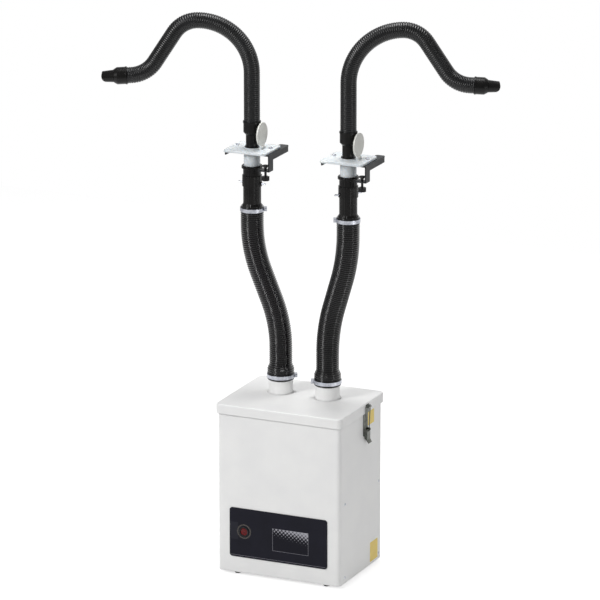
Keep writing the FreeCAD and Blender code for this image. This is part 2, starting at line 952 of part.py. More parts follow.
def make_latch_plate():
    middle = (latch_plate_low + latch_plate_high) / 2
    height = latch_plate_high - latch_plate_low
    plate = rounded_face(latch_plate_width, height, latch_plate_corner)
    plate = plate.extrude(Vector(0, 0, latch_plate_sheet))
    plate = placed(plate, latch_point(0, middle), X_AXIS, Y_AXIS)
    inner = lever_width / 2 + ear_gap
    pieces = [plate]
    for side in (-1, 1):
        start = side * inner if side > 0 else side * (inner + ear_sheet)
        foot_low = latch_point(0, lever_pivot_z - lever_eye_radius, start)
        foot_high = latch_point(lever_pivot_out, lever_pivot_z + lever_eye_radius, start + ear_sheet)
        pieces.append(block(foot_low, foot_high))
        eye = latch_point(lever_pivot_out, lever_pivot_z, start)
        pieces.append(disc(lever_eye_radius, ear_sheet, eye, Y_AXIS))
    reach = inner + ear_sheet
    pin_start = latch_point(lever_pivot_out, lever_pivot_z, -reach)
    pieces.append(disc(lever_pin_radius, 2 * reach, pin_start, Y_AXIS))
    rivet_top = (latch_rivet_radius / 2, latch_rivet_height)
    rivet = turned(((0, 0), (latch_rivet_radius, 0), rivet_top, (0, latch_rivet_height)))
    for y in (-latch_rivet_spacing, latch_rivet_spacing):
        spot = latch_point(latch_plate_sheet, latch_plate_low + latch_rivet_rise, y)
        pieces.append(placed(rivet, spot, X_AXIS, Y_AXIS))
    return fused(*pieces)


def make_latch_lever():
    low = lever_pivot_z - lever_reach
    half = lever_width / 2
    face_back = lever_front_out - lever_sheet
    cheek = (
        (lever_back_out, lever_pivot_z),
        (lever_back_out, low + lever_curl_out),
        (face_back, low),
        (face_back, lever_pivot_z),
    )
    pieces = []
    for start in (-half, half - lever_sheet):
        points = [latch_point(out, z, start) for out, z in cheek]
        pieces.append(extruded(points, Vector(0, lever_sheet, 0)))
        eye = latch_point(lever_pivot_out, lever_pivot_z, start)
        pieces.append(disc(lever_eye_radius - seat_gap, lever_sheet, eye, Y_AXIS))
    curl_out = lever_front_out + lever_curl_out
    curl_z = low - lever_curl_length
    front = (
        (face_back, lever_pivot_z - lever_sheet),
        (face_back, low),
        (curl_out - lever_sheet, curl_z),
        (curl_out, curl_z),
        (lever_front_out, low + lever_sheet),
        (lever_front_out, lever_pivot_z - lever_sheet),
    )
    points = [latch_point(out, z, -half) for out, z in front]
    pieces.append(extruded(points, Vector(0, lever_width, 0)))
    lever = fused(*pieces)
    crank_out, crank_z = crank_point()
    cuts = []
    for out, z, radius in (
        (lever_pivot_out, lever_pivot_z, lever_pin_radius + running_gap),
        (crank_out, crank_z, bail_wire_radius + running_gap),
    ):
        cuts.append(disc(radius, lever_width + 2 * overrun, latch_point(out, z, -half - overrun), Y_AXIS))
    return lever.cut(cuts)


def wire_rod(points, radius, bend):
    # A round wire through corner points, each corner rounded by the same bend.
    edges = []
    start = points[0]
    for before, corner, after in zip(points, points[1:], points[2:]):
        arriving = (corner - before).normalize()
        leaving = (after - corner).normalize()
        setback = bend * math.tan(arriving.getAngle(leaving) / 2)
        enter = corner - arriving * setback
        leave = corner + leaving * setback
        centre_way = (leaving - arriving).normalize()
        half_turn = (math.pi - arriving.getAngle(leaving)) / 2
        middle = corner + centre_way * (bend / math.sin(half_turn) - bend)
        edges.append(Part.LineSegment(start, enter).toShape())
        edges.append(Part.Arc(enter, middle, leave).toShape())
        start = leave
    edges.append(Part.LineSegment(start, points[-1]).toShape())
    heading = (points[1] - points[0]).normalize()
    section = Part.Wire([Part.makeCircle(radius, points[0], heading)])
    return Part.Wire(edges).makePipeShell([section], True, False)


def make_latch_bail():
    crank_out, crank_z = crank_point()
    leg = (bail_width - 2 * bail_wire_radius) / 2
    tip = lever_width / 2 - lever_sheet
    points = [
        latch_point(crank_out, crank_z, -tip),
        latch_point(crank_out, crank_z, -leg),
        latch_point(bail_wire_out, bail_wire_z, -leg),
        latch_point(bail_wire_out, bail_wire_z, leg),
        latch_point(crank_out, crank_z, leg),
        latch_point(crank_out, crank_z, tip),
    ]
    return wire_rod(points, bail_wire_radius, bail_bend / 2)


def make_latch_keeper():
    back = lid_overhang
    front = back + keeper_sheet
    tray_z = bail_wire_z - bail_wire_radius - seat_gap
    tray_out = bail_wire_out + keeper_tray_out
    high = tray_z + keeper_sheet + keeper_lip
    outline = (
        (back, tray_z - keeper_plate_height),
        (front, tray_z - keeper_plate_height),
        (front, tray_z - keeper_sheet),
        (tray_out + keeper_sheet, tray_z - keeper_sheet),
        (tray_out + keeper_sheet, high - keeper_sheet),
        (tray_out, high - keeper_sheet),
        (tray_out, tray_z),
        (front, tray_z),
        (front, lid_top - lid_edge_radius - seat_gap),
        (back, lid_top - lid_edge_radius - seat_gap),
    )
    points = [latch_point(out, z, -keeper_width / 2) for out, z in outline]
    return extruded(points, Vector(0, keeper_width, 0))


# Work places. Each is drawn about the station's upright axis and then moved to its place.


def station_axis(side):
    return Vector(side * station_offset, 0, 0)


def make_mount_plate():
    plate = slab(plate_length, plate_depth, plate_corner, plate_under, plate_top_z)
    spigot_low = plate_under - plate_spigot_reach
    spigot = disc(plate_spigot_radius, plate_spigot_reach + running_gap, Vector(0, 0, spigot_low))
    ring_start = Vector(0, 0, plate_top_z - running_gap)
    ring = disc(plate_bore + plate_ring_width, plate_ring_height + running_gap, ring_start)
    pieces = [plate, spigot, ring]
    pin_z = plate_top_z + flap_hinge_z
    lug_inner = flap_knuckle_length / 2 + seat_gap
    for side in (-1, 1):
        start = lug_inner if side > 0 else -lug_inner - flap_lug_thickness
        low = Vector(flap_hinge_x - flap_knuckle_radius, start, plate_top_z - running_gap)
        high = Vector(flap_hinge_x + flap_knuckle_radius, start + flap_lug_thickness, pin_z)
        pieces.append(block(low, high))
        eye = Vector(flap_hinge_x, start, pin_z)
        pieces.append(disc(flap_knuckle_radius, flap_lug_thickness, eye, Y_AXIS))
    bore_length = plate_top_z - spigot_low + 2 * overrun
    bore = disc(plate_bore, bore_length, Vector(0, 0, spigot_low - overrun))
    pin_reach = lug_inner + flap_lug_thickness + overrun
    pin_start = Vector(flap_hinge_x, -pin_reach, pin_z)
    pin_bore = disc(flap_pin_radius + running_gap, 2 * pin_reach, pin_start, Y_AXIS)
    return fused(*pieces).cut([bore, pin_bore] + plate_screw_holes())


def plate_screw_holes():
    height = plate_thickness + bracket_sheet + 2 * overrun
    radius = plate_screw_radius + running_gap
    return [
        disc(radius, height, Vector(x, plate_screw_y, bracket_under - overrun))
        for x in (-plate_screw_x, plate_screw_x)
    ]


def make_flap():
    pin_z = plate_top_z + flap_hinge_z
    knuckle_start = Vector(flap_hinge_x, -flap_knuckle_length / 2, pin_z)
    knuckle = disc(flap_knuckle_radius, flap_knuckle_length, knuckle_start, Y_AXIS)
    reach = flap_knuckle_length / 2 + seat_gap + flap_lug_thickness
    pin = disc(flap_pin_radius, 2 * reach, Vector(flap_hinge_x, -reach, pin_z), Y_AXIS)
    back_x = flap_hinge_x - flap_thickness / 2
    centre = Vector(back_x, 0, pin_z + flap_knuckle_radius + flap_radius)
    round_plate = disc(flap_radius, flap_thickness, centre, X_AXIS)
    rim = disc(flap_radius, flap_rim_height, centre - X_AXIS * flap_rim_height, X_AXIS)
    rim = rim.cut(disc(flap_radius - flap_rim_width, 2 * overrun, centre - X_AXIS * overrun, X_AXIS))
    half = flap_knuckle_length / 2
    low = Vector(back_x, -half, pin_z)
    high = Vector(back_x + flap_thickness, half, centre.z - flap_radius / 2)
    return fused(round_plate, rim, knuckle, pin, block(low, high))


def make_bench_bracket():
    low_z = bracket_under
    high_z = plate_under
    main = block(Vector(-bracket_left, -bracket_front, low_z), Vector(bracket_right, bracket_back, high_z))
    strip_x = bracket_right - bracket_strip_width
    strip = block(Vector(strip_x, -bracket_front, low_z), Vector(bracket_right, bracket_strip_back, high_z))
    sheet = fused(main, strip)
    corners = []
    for edge in sheet.Edges:
        start = edge.Vertexes[0]
        upright = abs(start.Z - edge.Vertexes[-1].Z) > bracket_sheet / 2
        at_left = start.X < running_gap - bracket_left
        if upright and (at_left or start.Y > bracket_back + running_gap):
            corners.append(edge)
    sheet = sheet.makeFillet(bracket_corner, corners)
    hole = disc(bracket_hole_radius, 2 * overrun, Vector(0, 0, low_z - overrun))
    lip = block(
        Vector(-bracket_left, bracket_corner - bracket_front, low_z - bracket_lip),
        Vector(bracket_sheet - bracket_left, bracket_back - bracket_corner, low_z + running_gap),
    )
    flange_x = bracket_right - bracket_sheet
    flange = block(
        Vector(flange_x, -bracket_front, low_z - bracket_flange),
        Vector(bracket_right, bracket_strip_back - bracket_corner, low_z + running_gap),
    )
    tab = block(
        Vector(flange_x, -bracket_front, jaw_top - bracket_sheet),
        Vector(bracket_right, jaw_width - bracket_front, low_z),
    )
    tongue = block(
        Vector(flange_x - jaw_reach, -bracket_front, jaw_top - bracket_sheet),
        Vector(bracket_right, jaw_width - bracket_front, jaw_top),
    )
    thread = disc(clamp_screw_radius + running_gap, 2 * overrun, Vector(jaw_x, jaw_y, jaw_top - overrun))
    return fused(sheet, lip, flange, tab, tongue).cut([hole, thread] + plate_screw_holes())


def make_plate_fasteners(side):
    screw = disc(plate_screw_radius, plate_screw_length, Vector(0, 0, -plate_screw_length))
    head = disc(plate_screw_head_radius, plate_screw_head_height)
    edges = [edge for edge in head.Edges if edge.Vertexes[0].Z > running_gap and len(edge.Vertexes) == 1]
    head = head.makeChamfer(plate_screw_bevel, edges)
    half = plate_screw_slot_width / 2
    reach = plate_screw_head_radius + overrun
    slot_low = plate_screw_head_height - plate_screw_slot_depth
    slot = block(Vector(-reach, -half, slot_low), Vector(reach, half, plate_screw_head_height + overrun))
    screw = fused(screw, head).cut(slot)
    flat = plate_nut_across / 2
    corner = flat / math.cos(math.pi / 6)
    points = []
    for number in range(6):
        angle = number * math.pi / 3
        points.append(Vector(corner * math.cos(angle), corner * math.sin(angle), 0))
    nut = extruded(points, Vector(0, 0, -plate_nut_height - plate_washer_height))
    washer = disc(plate_washer_radius, plate_washer_height, Vector(0, 0, -plate_washer_height))
    bore = disc(plate_screw_radius + running_gap, 4 * overrun, Vector(0, 0, -2 * overrun))
    nut = fused(nut, washer).cut(bore)
    solids = []
    for x in (-plate_screw_x, plate_screw_x):
        spot = station_axis(side) + Vector(x, plate_screw_y, 0)
        solids.append(moved(screw, spot.x, spot.y, plate_top_z))
        solids.append(moved(nut, spot.x, spot.y, bracket_under))
    return solids


def make_clamp_screw():
    low = jaw_top - bracket_sheet - knob_drop
    stem_top = jaw_top + clamp_rise - seat_gap
    knob = disc(knob_radius, knob_height, Vector(jaw_x, jaw_y, low - knob_height))
    scallops = []
    for number in range(knob_scallops):
        angle = number * 2 * math.pi / knob_scallops
        reach = knob_radius + knob_scallop_radius / 2
        across = reach * math.cos(angle)
        back = reach * math.sin(angle)
        spot = Vector(jaw_x + across, jaw_y + back, low - knob_height - overrun)
        scallops.append(disc(knob_scallop_radius, knob_height + 2 * overrun, spot))
    stem = disc(clamp_screw_radius, stem_top - low, Vector(jaw_x, jaw_y, low))
    return fused(knob.cut(scallops), stem)


def make_clamp_pad():
    low = jaw_top + clamp_rise
    pad = disc(clamp_pad_radius, clamp_pad_thickness, Vector(jaw_x, jaw_y, low))
    skirt_low = low - clamp_pad_thickness
    skirt = disc(clamp_pad_radius / 2 + clamp_neck, clamp_pad_thickness, Vector(jaw_x, jaw_y, skirt_low))
    socket = disc(clamp_screw_radius + running_gap, clamp_pad_thickness, Vector(jaw_x, jaw_y, skirt_low))
    return fused(pad, skirt).cut(socket)


def make_valve_cuff(spindle_turn):
    top = cuff_rim_z
    tail_bore = cuff_tail_radius - cuff_tail_wall
    profile = (
        (cuff_bore, top - running_gap),
        (cuff_neck_radius, top),
        (cuff_rim_radius - cuff_rim_bevel, top),
        (cuff_rim_radius, top - cuff_rim_drop),
        (cuff_rim_radius, top - cuff_rim_height + cuff_rim_drop),
        (cuff_neck_radius, top - cuff_rim_height),
        (cuff_neck_radius, top - cuff_neck_end),
        (cuff_collar_radius, top - cuff_neck_end),
        (cuff_collar_radius, top - cuff_collar_end),
        (cuff_neck_radius, top - cuff_collar_end),
        (cuff_neck_radius, top - cuff_body_end),
        (cuff_tail_radius, top - cuff_body_end - cuff_shoulder),
        (cuff_tail_radius, top - cuff_tail_end),
        (tail_bore, top - cuff_tail_end),
        (tail_bore, top - cuff_body_end - cuff_shoulder),
        (cuff_bore, top - cuff_body_end),
    )
    cuff = turned(profile)
    way = Vector(math.cos(spindle_turn), math.sin(spindle_turn), 0)
    height = Z_AXIS * (top - damper_depth)
    for end in (-1, 1):
        boss = disc(
            spindle_boss_radius,
            cuff_collar_radius + spindle_boss_height - cuff_bore - seat_gap,
            height + way * (end * (cuff_bore + seat_gap)),
            way * end,
        )
        cuff = cuff.fuse(boss)
    bore = disc(spindle_radius + running_gap, 2 * spindle_reach, height - way * spindle_reach, way)
    return cuff.removeSplitter().cut(bore)


def make_valve_damper(spindle_turn):
    way = Vector(math.cos(spindle_turn), math.sin(spindle_turn), 0)
    across = Z_AXIS.cross(way)
    height = Z_AXIS * (cuff_rim_z - damper_depth)
    blade_radius = cuff_bore - damper_edge_gap
    blade = disc(blade_radius, damper_sheet, height - across * (damper_sheet / 2), across)
    spindle = disc(spindle_radius, 2 * spindle_reach, height - way * spindle_reach, way)
    return fused(blade, spindle)


# Lower hoses and clips


def lower_hose_plane(side):
    low = Vector(side * spigot_spacing / 2, spigot_setback, hose_low_end)
    high = Vector(side * station_offset, 0, hose_high_end)
    away = high - low
    offset = math.hypot(away.x, away.y)
    rise = away.z - hose_low_straight - hose_high_straight
    lean = math.radians(hose_lean)
    drift = 2 * (1 - math.cos(lean))
    slope = (offset * math.sin(lean) - rise * (1 - math.cos(lean))) / (
        math.sin(lean) ** 2 - math.cos(lean) * (1 - math.cos(lean))
    )
    radius = (offset - slope * math.sin(lean)) / drift
    route = (
        (hose_low_straight, 0),
        (radius * lean, -lean),
        (slope, 0),
        (radius * lean, lean),
        (hose_high_straight, 0),
    )
    return Plane(low, math.atan2(away.y, away.x), route)


def lower_bore(distance):
    flare_start = hose_overlap_low + seat_gap
    if distance <= flare_start:
        return hose_bore + hose_flare
    left = max(0.0, 1 - (distance - flare_start) / hose_flare_length)
    return hose_bore + hose_flare * left


def route_length(route):
    return sum(length for length, turn in route)


def make_lower_hose(plane):
    length = route_length(plane.route)
    return ribbed_hose(plane, 0, length, lower_bore, hose_wall, hose_rib, hose_rib_pitch)


def make_hose_clip(radius, bearing):
    # A worm clip: its band, and the worm's box and screw on the given bearing.
    inner = radius + seat_gap
    outer = inner + clip_sheet
    half = clip_box_length / 2
    box_z = (clip_width - clip_box_width) / 2
    low = Vector(outer - clip_sheet / 2, -half, box_z)
    high = Vector(outer + clip_box_height, half, box_z + clip_box_width)
    box = block(low, high)
    screw_x = outer + clip_box_height / 2
    screw_start = Vector(screw_x, -clip_screw_length + half, clip_width / 2)
    screw = disc(clip_screw_radius, clip_screw_length, screw_start, Y_AXIS)
    slot_reach = clip_screw_radius + overrun
    slot = block(
        Vector(screw_x - clip_screw_slot / 2, screw_start.y - overrun, clip_width / 2 - slot_reach),
        Vector(screw_x + clip_screw_slot / 2, screw_start.y + clip_screw_slot, clip_width / 2 + slot_reach),
    )
    hole = disc(inner, clip_width + 2 * overrun, Vector(0, 0, -overrun))
    clip = fused(disc(outer, clip_width), box.fuse(screw.cut(slot))).cut(hole)
    clip.rotate(ORIGIN, Z_AXIS, bearing)
    return clip


def make_hose_clips(side):
    bearing = arm_bearing if side < 0 else 180 + arm_bearing
    low = make_hose_clip(hose_crest + hose_flare, bearing)
    high = make_hose_clip(hose_crest, bearing)
    low_z = hose_low_end + clip_lift
    high_z = hose_high_end - clip_lift - clip_width
    return [
        moved(low, side * spigot_spacing / 2, spigot_setback, low_z),
        moved(high, side * station_offset, 0, high_z),
    ]


# Stay-put arms


def arm_plane(side):
    turn = math.radians(arm_second_turn)
    last_turn = math.radians(arm_third_turn)
    route = (
        (arm_riser_end + arm_flex_length, 0),
        (arm_first_radius * QUARTER, -QUARTER),
        (arm_second_radius * turn, -turn),
        (arm_slope_length, 0),
        (arm_third_radius * last_turn, last_turn),
        (arm_last_straight, 0),
        (collar_length + nozzle_reach, 0),
    )
    start = station_axis(side) + Z_AXIS * plate_top_z
    bearing = math.radians(arm_bearing) + (math.pi if side < 0 else 0)
    return Plane(start, bearing, route)


def arm_marks(plane):
    # Distances along the arm at which its stretches end.
    lengths = [length for length, turn in plane.route]
    slope_start = sum(lengths[:3])
    flex_start = slope_start + (arm_slope_length - high_flex_length) / 2
    hose_end = sum(lengths[:6])
    return flex_start, flex_start + high_flex_length, hose_end


def arm_bore(distance):
    return arm_hose_bore


def make_arm_hose(plane, start, end):
    wall = arm_hose_radius - arm_rib - arm_hose_bore
    return ribbed_hose(plane, start, end, arm_bore, wall, arm_rib, arm_rib_pitch)


def make_arm_cuff():
    socket = arm_hose_radius + seat_gap
    seat = arm_cuff_start + arm_cuff_taper
    bottom = arm_pipe_foot - plate_thickness - plate_spigot_reach
    ring_low = plate_ring_height + seat_gap
    ring_radius = plate_bore + plate_ring_width
    profile = (
        (arm_pipe_bore, bottom),
        (arm_pipe_radius, bottom),
        (arm_pipe_radius, ring_low),
        (ring_radius, ring_low),
        (ring_radius, ring_low + plate_ring_height),
        (arm_pipe_radius, ring_low + plate_ring_height),
        (arm_pipe_radius, arm_cuff_start),
        (arm_cuff_radius, seat),
        (arm_cuff_radius, arm_cuff_end - arm_cuff_rim_height),
        (arm_cuff_radius + arm_cuff_rim, arm_cuff_end - arm_cuff_rim_height),
        (arm_cuff_radius + arm_cuff_rim, arm_cuff_end),
        (socket, arm_cuff_end),
        (socket, seat),
        (arm_hose_bore, seat),
        (arm_pipe_bore, arm_cuff_start),
    )
    return turned(profile)


def make_nozzle_collar():
    socket = arm_hose_radius + seat_gap
    web_start = collar_cover + seat_gap
    bore = nozzle_grip_radius + running_gap
    profile = (
        (socket, 0),
        (collar_lip_radius, 0),
        (collar_lip_radius, collar_lip_length),
        (collar_radius, collar_lip_length),
        (collar_radius, collar_length - collar_taper),
        (collar_front_radius, collar_length),
        (bore, collar_length),
        (bore, web_start + collar_web),
        (nozzle_grip_radius - nozzle_wall, web_start + collar_web),
        (nozzle_grip_radius - nozzle_wall, web_start),
        (socket, web_start),
    )
    return turned(profile)


def make_nozzle():
    # Drawn along +Z from its inner end. Its own +Y faces up, where the rounded mouth reaches out further.
    length = nozzle_grip + nozzle_reach
    shoulder = nozzle_grip + seat_gap
    bore = nozzle_grip_radius - nozzle_wall
    tube = turned((
        (nozzle_grip_radius, 0),
        (nozzle_grip_radius, shoulder),
        (nozzle_radius, shoulder),
        (nozzle_mouth_radius, length),
        (nozzle_mouth_radius - nozzle_wall, length),
        (bore, shoulder),
        (bore, 0),
    ))
    reach = nozzle_radius + running_gap
    lip_z = length - nozzle_lip_radius
    lip = disc(nozzle_lip_radius, 2 * reach, Vector(-reach, nozzle_lip_rise, lip_z), X_AXIS)
    root = block(Vector(-reach, -reach, -overrun), Vector(reach, reach, lip_z))
    return tube.common(fused(lip, root))


# Build


def build_cabinet():
    save("cabinet_shell", make_cabinet_shell())
    save("base_pan", make_base_pan())
    save("rear_panel", make_rear_panel())
    save("lid", make_lid())
    save("lid_seal", make_lid_seal())
    save("spigots", *make_spigots())
    save("shelf", make_shelf())
    save("gas_filter", make_gas_filter())
    save("particle_filter", make_particle_filter())
    save("prefilter", make_prefilter())
    save("filter_gasket", make_filter_gasket())
    save("blower_housing", make_blower_housing())
    save("motor", make_motor())
    save("impeller", make_impeller())
    save("power_inlet", make_power_inlet())
    save("control_panel", make_control_panel())
    save("switch_bezel", make_switch_bezel())
    save("switch_rocker", make_switch_rocker())
    save("feet", *make_feet())
    save("panel_screws", *make_panel_screws())


def build_latches():
    plate = make_latch_plate()
    keeper = make_latch_keeper()
    lever = make_latch_lever()
    bail = make_latch_bail()
    save("latch_plates", plate, mirrored(plate))
    save("latch_keepers", keeper, mirrored(keeper))
    save("latch_lever_right", lever)
    save("latch_lever_left", mirrored(lever))
    save("latch_bail_right", bail)
    save("latch_bail_left", mirrored(bail))


def build_station(name, side, spindle_turn):
    axis = station_axis(side)
    hose_plane = lower_hose_plane(side)
    save("lower_hose_" + name, make_lower_hose(hose_plane))
    fixed = {
        "valve_cuff_": make_valve_cuff(spindle_turn),
        "valve_damper_": make_valve_damper(spindle_turn),
        "mount_plate_": make_mount_plate(),
        "flap_": make_flap(),
        "bench_bracket_": make_bench_bracket(),
        "clamp_screw_": make_clamp_screw(),
        "clamp_pad_": make_clamp_pad(),
    }
    for piece, solid in fixed.items():
        save(piece + name, moved(solid, axis.x, axis.y))
    plane = arm_plane(side)
    flex_start, flex_end, hose_end = arm_marks(plane)
    low_flex_end = arm_riser_end + arm_flex_length
    save("arm_cuff_" + name, plane.carry(make_arm_cuff(), 0))
    save("arm_hose_riser_" + name, make_arm_hose(plane, arm_hose_seat, arm_riser_end))
    save("arm_flex_low_" + name, make_arm_hose(plane, arm_riser_end, low_flex_end))
    save("arm_hose_arch_" + name, make_arm_hose(plane, low_flex_end, flex_start))
    save("arm_flex_high_" + name, make_arm_hose(plane, flex_start, flex_end))
    save("arm_hose_tip_" + name, make_arm_hose(plane, flex_end, hose_end))
    collar_start = hose_end - collar_cover
    save("nozzle_collar_" + name, plane.carry(make_nozzle_collar(), collar_start))
    nozzle_start = collar_start + collar_length - nozzle_grip
    save("nozzle_" + name, plane.carry(make_nozzle(), nozzle_start))


def main():
    os.makedirs("parts", exist_ok=True)
    build_cabinet()
    build_latches()
    build_station("left", -1, 0)
    build_station("right", 1, 2 * math.radians(arm_bearing))
    save("hose_clips", *(make_hose_clips(-1) + make_hose_clips(1)))
    save("plate_fasteners", *(make_plate_fasteners(-1) + make_plate_fasteners(1)))


main()
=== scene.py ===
import bmesh
import bpy
import math
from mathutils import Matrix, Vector


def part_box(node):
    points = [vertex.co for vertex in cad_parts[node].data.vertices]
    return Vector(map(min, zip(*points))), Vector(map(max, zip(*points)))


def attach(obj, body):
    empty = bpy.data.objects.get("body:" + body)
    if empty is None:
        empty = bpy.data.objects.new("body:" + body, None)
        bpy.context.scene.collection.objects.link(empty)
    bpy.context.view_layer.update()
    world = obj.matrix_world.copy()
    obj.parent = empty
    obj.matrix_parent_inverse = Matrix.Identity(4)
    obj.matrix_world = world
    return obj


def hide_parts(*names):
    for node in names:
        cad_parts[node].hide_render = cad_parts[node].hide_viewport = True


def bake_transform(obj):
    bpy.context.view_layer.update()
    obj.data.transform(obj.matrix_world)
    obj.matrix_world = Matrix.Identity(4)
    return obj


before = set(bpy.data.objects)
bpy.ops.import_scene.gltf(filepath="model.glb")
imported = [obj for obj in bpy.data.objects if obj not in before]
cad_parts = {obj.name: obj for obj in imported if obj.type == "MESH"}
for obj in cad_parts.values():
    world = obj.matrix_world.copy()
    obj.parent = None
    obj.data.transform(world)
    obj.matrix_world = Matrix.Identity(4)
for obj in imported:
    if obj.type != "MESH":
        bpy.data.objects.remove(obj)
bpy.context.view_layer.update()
sides = {"left": -1, "right": 1}
mm = 0.001


# Colours are written as sRGB hex and turned to linear here.
def fromHex(code):
    parts = [int(code[i:i + 2], 16) / 255 for i in (1, 3, 5)]
    return (*(p / 12.92 if p <= 0.04045 else ((p + 0.055) / 1.055) ** 2.4 for p in parts), 1.0)


# Adds a node, sets its properties, and fills or links its inputs.
def addNode(tree, kind, inputs=None, **settings):
    node = tree.nodes.new(kind)
    for name, value in settings.items():
        setattr(node, name, value)
    for key, value in (inputs or {}).items():
        if isinstance(value, bpy.types.NodeSocket):
            tree.links.new(value, node.inputs[key])
        else:
            node.inputs[key].default_value = value
    return node


# Starts a material. The dictionary goes straight on the Principled shader's sockets.
def startMaterial(name, shaderValues):
    material = bpy.data.materials.new(name)
    material.use_nodes = True
    tree = material.node_tree
    shader = tree.nodes["Principled BSDF"]
    for socket, value in shaderValues.items():
        shader.inputs[socket].default_value = value
    place = addNode(tree, "ShaderNodeTexCoord").outputs["Object"]
    return material, tree, shader, place


# What all surfaces share: how cloudy they are, and how strongly a height is pressed into them
surfaceLook = {"cloud detail": 4.0, "cloud low": 0.3, "cloud high": 0.7, "press": 0.6, "edge samples": 6}


# Paints the surface from one colour to another as a share goes from 0 to 1. A Mix node has a set of
# sockets for each data type, and its colours are inputs 6 and 7 and output 2.
def paint(tree, shader, share, low, high):
    mixed = addNode(tree, "ShaderNodeMix", {0: share, 6: fromHex(low), 7: fromHex(high)}, data_type="RGBA")
    tree.links.new(mixed.outputs[2], shader.inputs["Base Color"])


# Spreads a surface between two colours and two roughnesses by a noise of a real size.
def weather(tree, shader, place, patches, colours, roughness):
    cloud = addNode(tree, "ShaderNodeTexNoise", {"Vector": place, "Scale": 1 / patches,
                                                 "Detail": surfaceLook["cloud detail"]})
    share = addNode(tree, "ShaderNodeMapRange", {
        "Value": cloud.outputs["Fac"], "From Min": surfaceLook["cloud low"],
        "From Max": surfaceLook["cloud high"]}).outputs["Result"]
    rough = addNode(tree, "ShaderNodeMapRange", {"Value": share, "To Min": roughness[0],
                                                 "To Max": roughness[1]})
    paint(tree, shader, share, *colours)
    tree.links.new(rough.outputs["Result"], shader.inputs["Roughness"])


# Presses a height into a surface, and rounds the look of its sharp edges by a real radius.
def press(tree, shader, height, depth, edge=0.0):
    bump = addNode(tree, "ShaderNodeBump", {"Height": height, "Strength": surfaceLook["press"],
                                            "Distance": depth})
    if edge:
        soft = addNode(tree, "ShaderNodeBevel", {"Radius": edge}, samples=surfaceLook["edge samples"])
        tree.links.new(soft.outputs["Normal"], bump.inputs["Normal"])
    tree.links.new(bump.outputs["Normal"], shader.inputs["Normal"])


# A fine grain of a real size and depth
def grain(tree, shader, place, size, depth, edge=0.0, detail=2.0):
    noise = addNode(tree, "ShaderNodeTexNoise", {"Vector": place, "Scale": 1 / size, "Detail": detail})
    press(tree, shader, noise.outputs["Fac"], depth, edge)


def powderCoatWhite():
    # Polyester powder on steel: soft sheen with a fine orange peel
    material, tree, shader, place = startMaterial("powderCoatWhite", {
        "IOR": 1.5, "Coat Weight": 0.08, "Coat Roughness": 0.25})
    weather(tree, shader, place, 90 * mm, ("#e8e8e8", "#efefee"), (0.40, 0.48))
    grain(tree, shader, place, 2.2 * mm, 0.06 * mm, 3 * mm)
    return material


def navyFilm(low, high):
    # Polyester overlay film printed from behind: even dark navy under a satin face
    material, tree, shader, place = startMaterial("navyFilm", {"IOR": 1.57, "Specular IOR Level": 0.08})
    weather(tree, shader, place, 50 * mm, (low, high), (0.30, 0.38))
    grain(tree, shader, place, 0.8 * mm, 0.02 * mm, 0.4 * mm)
    return material


def printedWindow(look):
    # Screen print on the film: pale dots that grow and join towards the upper right corner. The screen is
    # coarser than a real print's, so that its dots show from a few steps away.
    material, tree, shader, place = startMaterial("printedWindow", {
        "Roughness": 0.35, "Specular IOR Level": 0.08})
    along = addNode(tree, "ShaderNodeVectorMath", {0: place, 1: (look["slant"], 0.0, 1.0)},
                    operation="DOT_PRODUCT")
    fade = addNode(tree, "ShaderNodeMapRange", {
        "Value": along.outputs["Value"], "From Min": look["dark"], "From Max": look["pale"],
        "To Max": look["dot gain"]}).outputs["Result"]
    turned = addNode(tree, "ShaderNodeMapping", {"Vector": place, "Rotation": (math.pi / 2, 0, math.pi / 4)})
    dots = addNode(tree, "ShaderNodeTexVoronoi", {
        "Vector": turned.outputs["Vector"], "Scale": 1 / look["dot screen"], "Randomness": 0.0},
                   voronoi_dimensions="2D")
    light = addNode(tree, "ShaderNodeMath", {0: dots.outputs["Distance"], 1: -look["dot fall"], 2: fade},
                    operation="MULTIPLY_ADD", use_clamp=True)
    paint(tree, shader, light.outputs["Value"], "#17171f", "#a6a6ae")
    return material


def greyInk(low, high):
    # Silver-grey screen ink, flat and a little uneven
    material, tree, shader, place = startMaterial("greyInk", {"IOR": 1.45, "Specular IOR Level": 0.2})
    weather(tree, shader, place, 4 * mm, (low, high), (0.45, 0.55))
    return material


def yellowFilm():
    # Blank adhesive vinyl film, bright yellow
    material, tree, shader, place = startMaterial("yellowFilm", {"IOR": 1.5})
    weather(tree, shader, place, 20 * mm, ("#e4c54c", "#edd160"), (0.35, 0.42))
    grain(tree, shader, place, 3 * mm, 0.03 * mm)
    return material


def redPolycarbonate():
    # Tinted clear key: deep red and glossy, with light caught inside
    material, tree, shader, place = startMaterial("redPolycarbonate", {
        "IOR": 1.58, "Specular IOR Level": 0.12, "Subsurface Weight": 0.1,
        "Subsurface Radius": (4 * mm, 0.6 * mm, 0.4 * mm), "Subsurface Scale": 1.0, "Coat Weight": 0.1,
        "Coat Roughness": 0.06})
    weather(tree, shader, place, 6 * mm, ("#480207", "#7c060c"), (0.16, 0.24))
    grain(tree, shader, place, 4 * mm, 0.02 * mm, 0.6 * mm)
    return material


def blackNylon():
    # Spark-finished glass-filled nylon: near black with a dry sheen
    material, tree, shader, place = startMaterial("blackNylon", {"IOR": 1.53, "Specular IOR Level": 0.25})
    weather(tree, shader, place, 30 * mm, ("#0d0d0e", "#161618"), (0.38, 0.48))
    grain(tree, shader, place, 0.9 * mm, 0.05 * mm, 0.5 * mm)
    return material


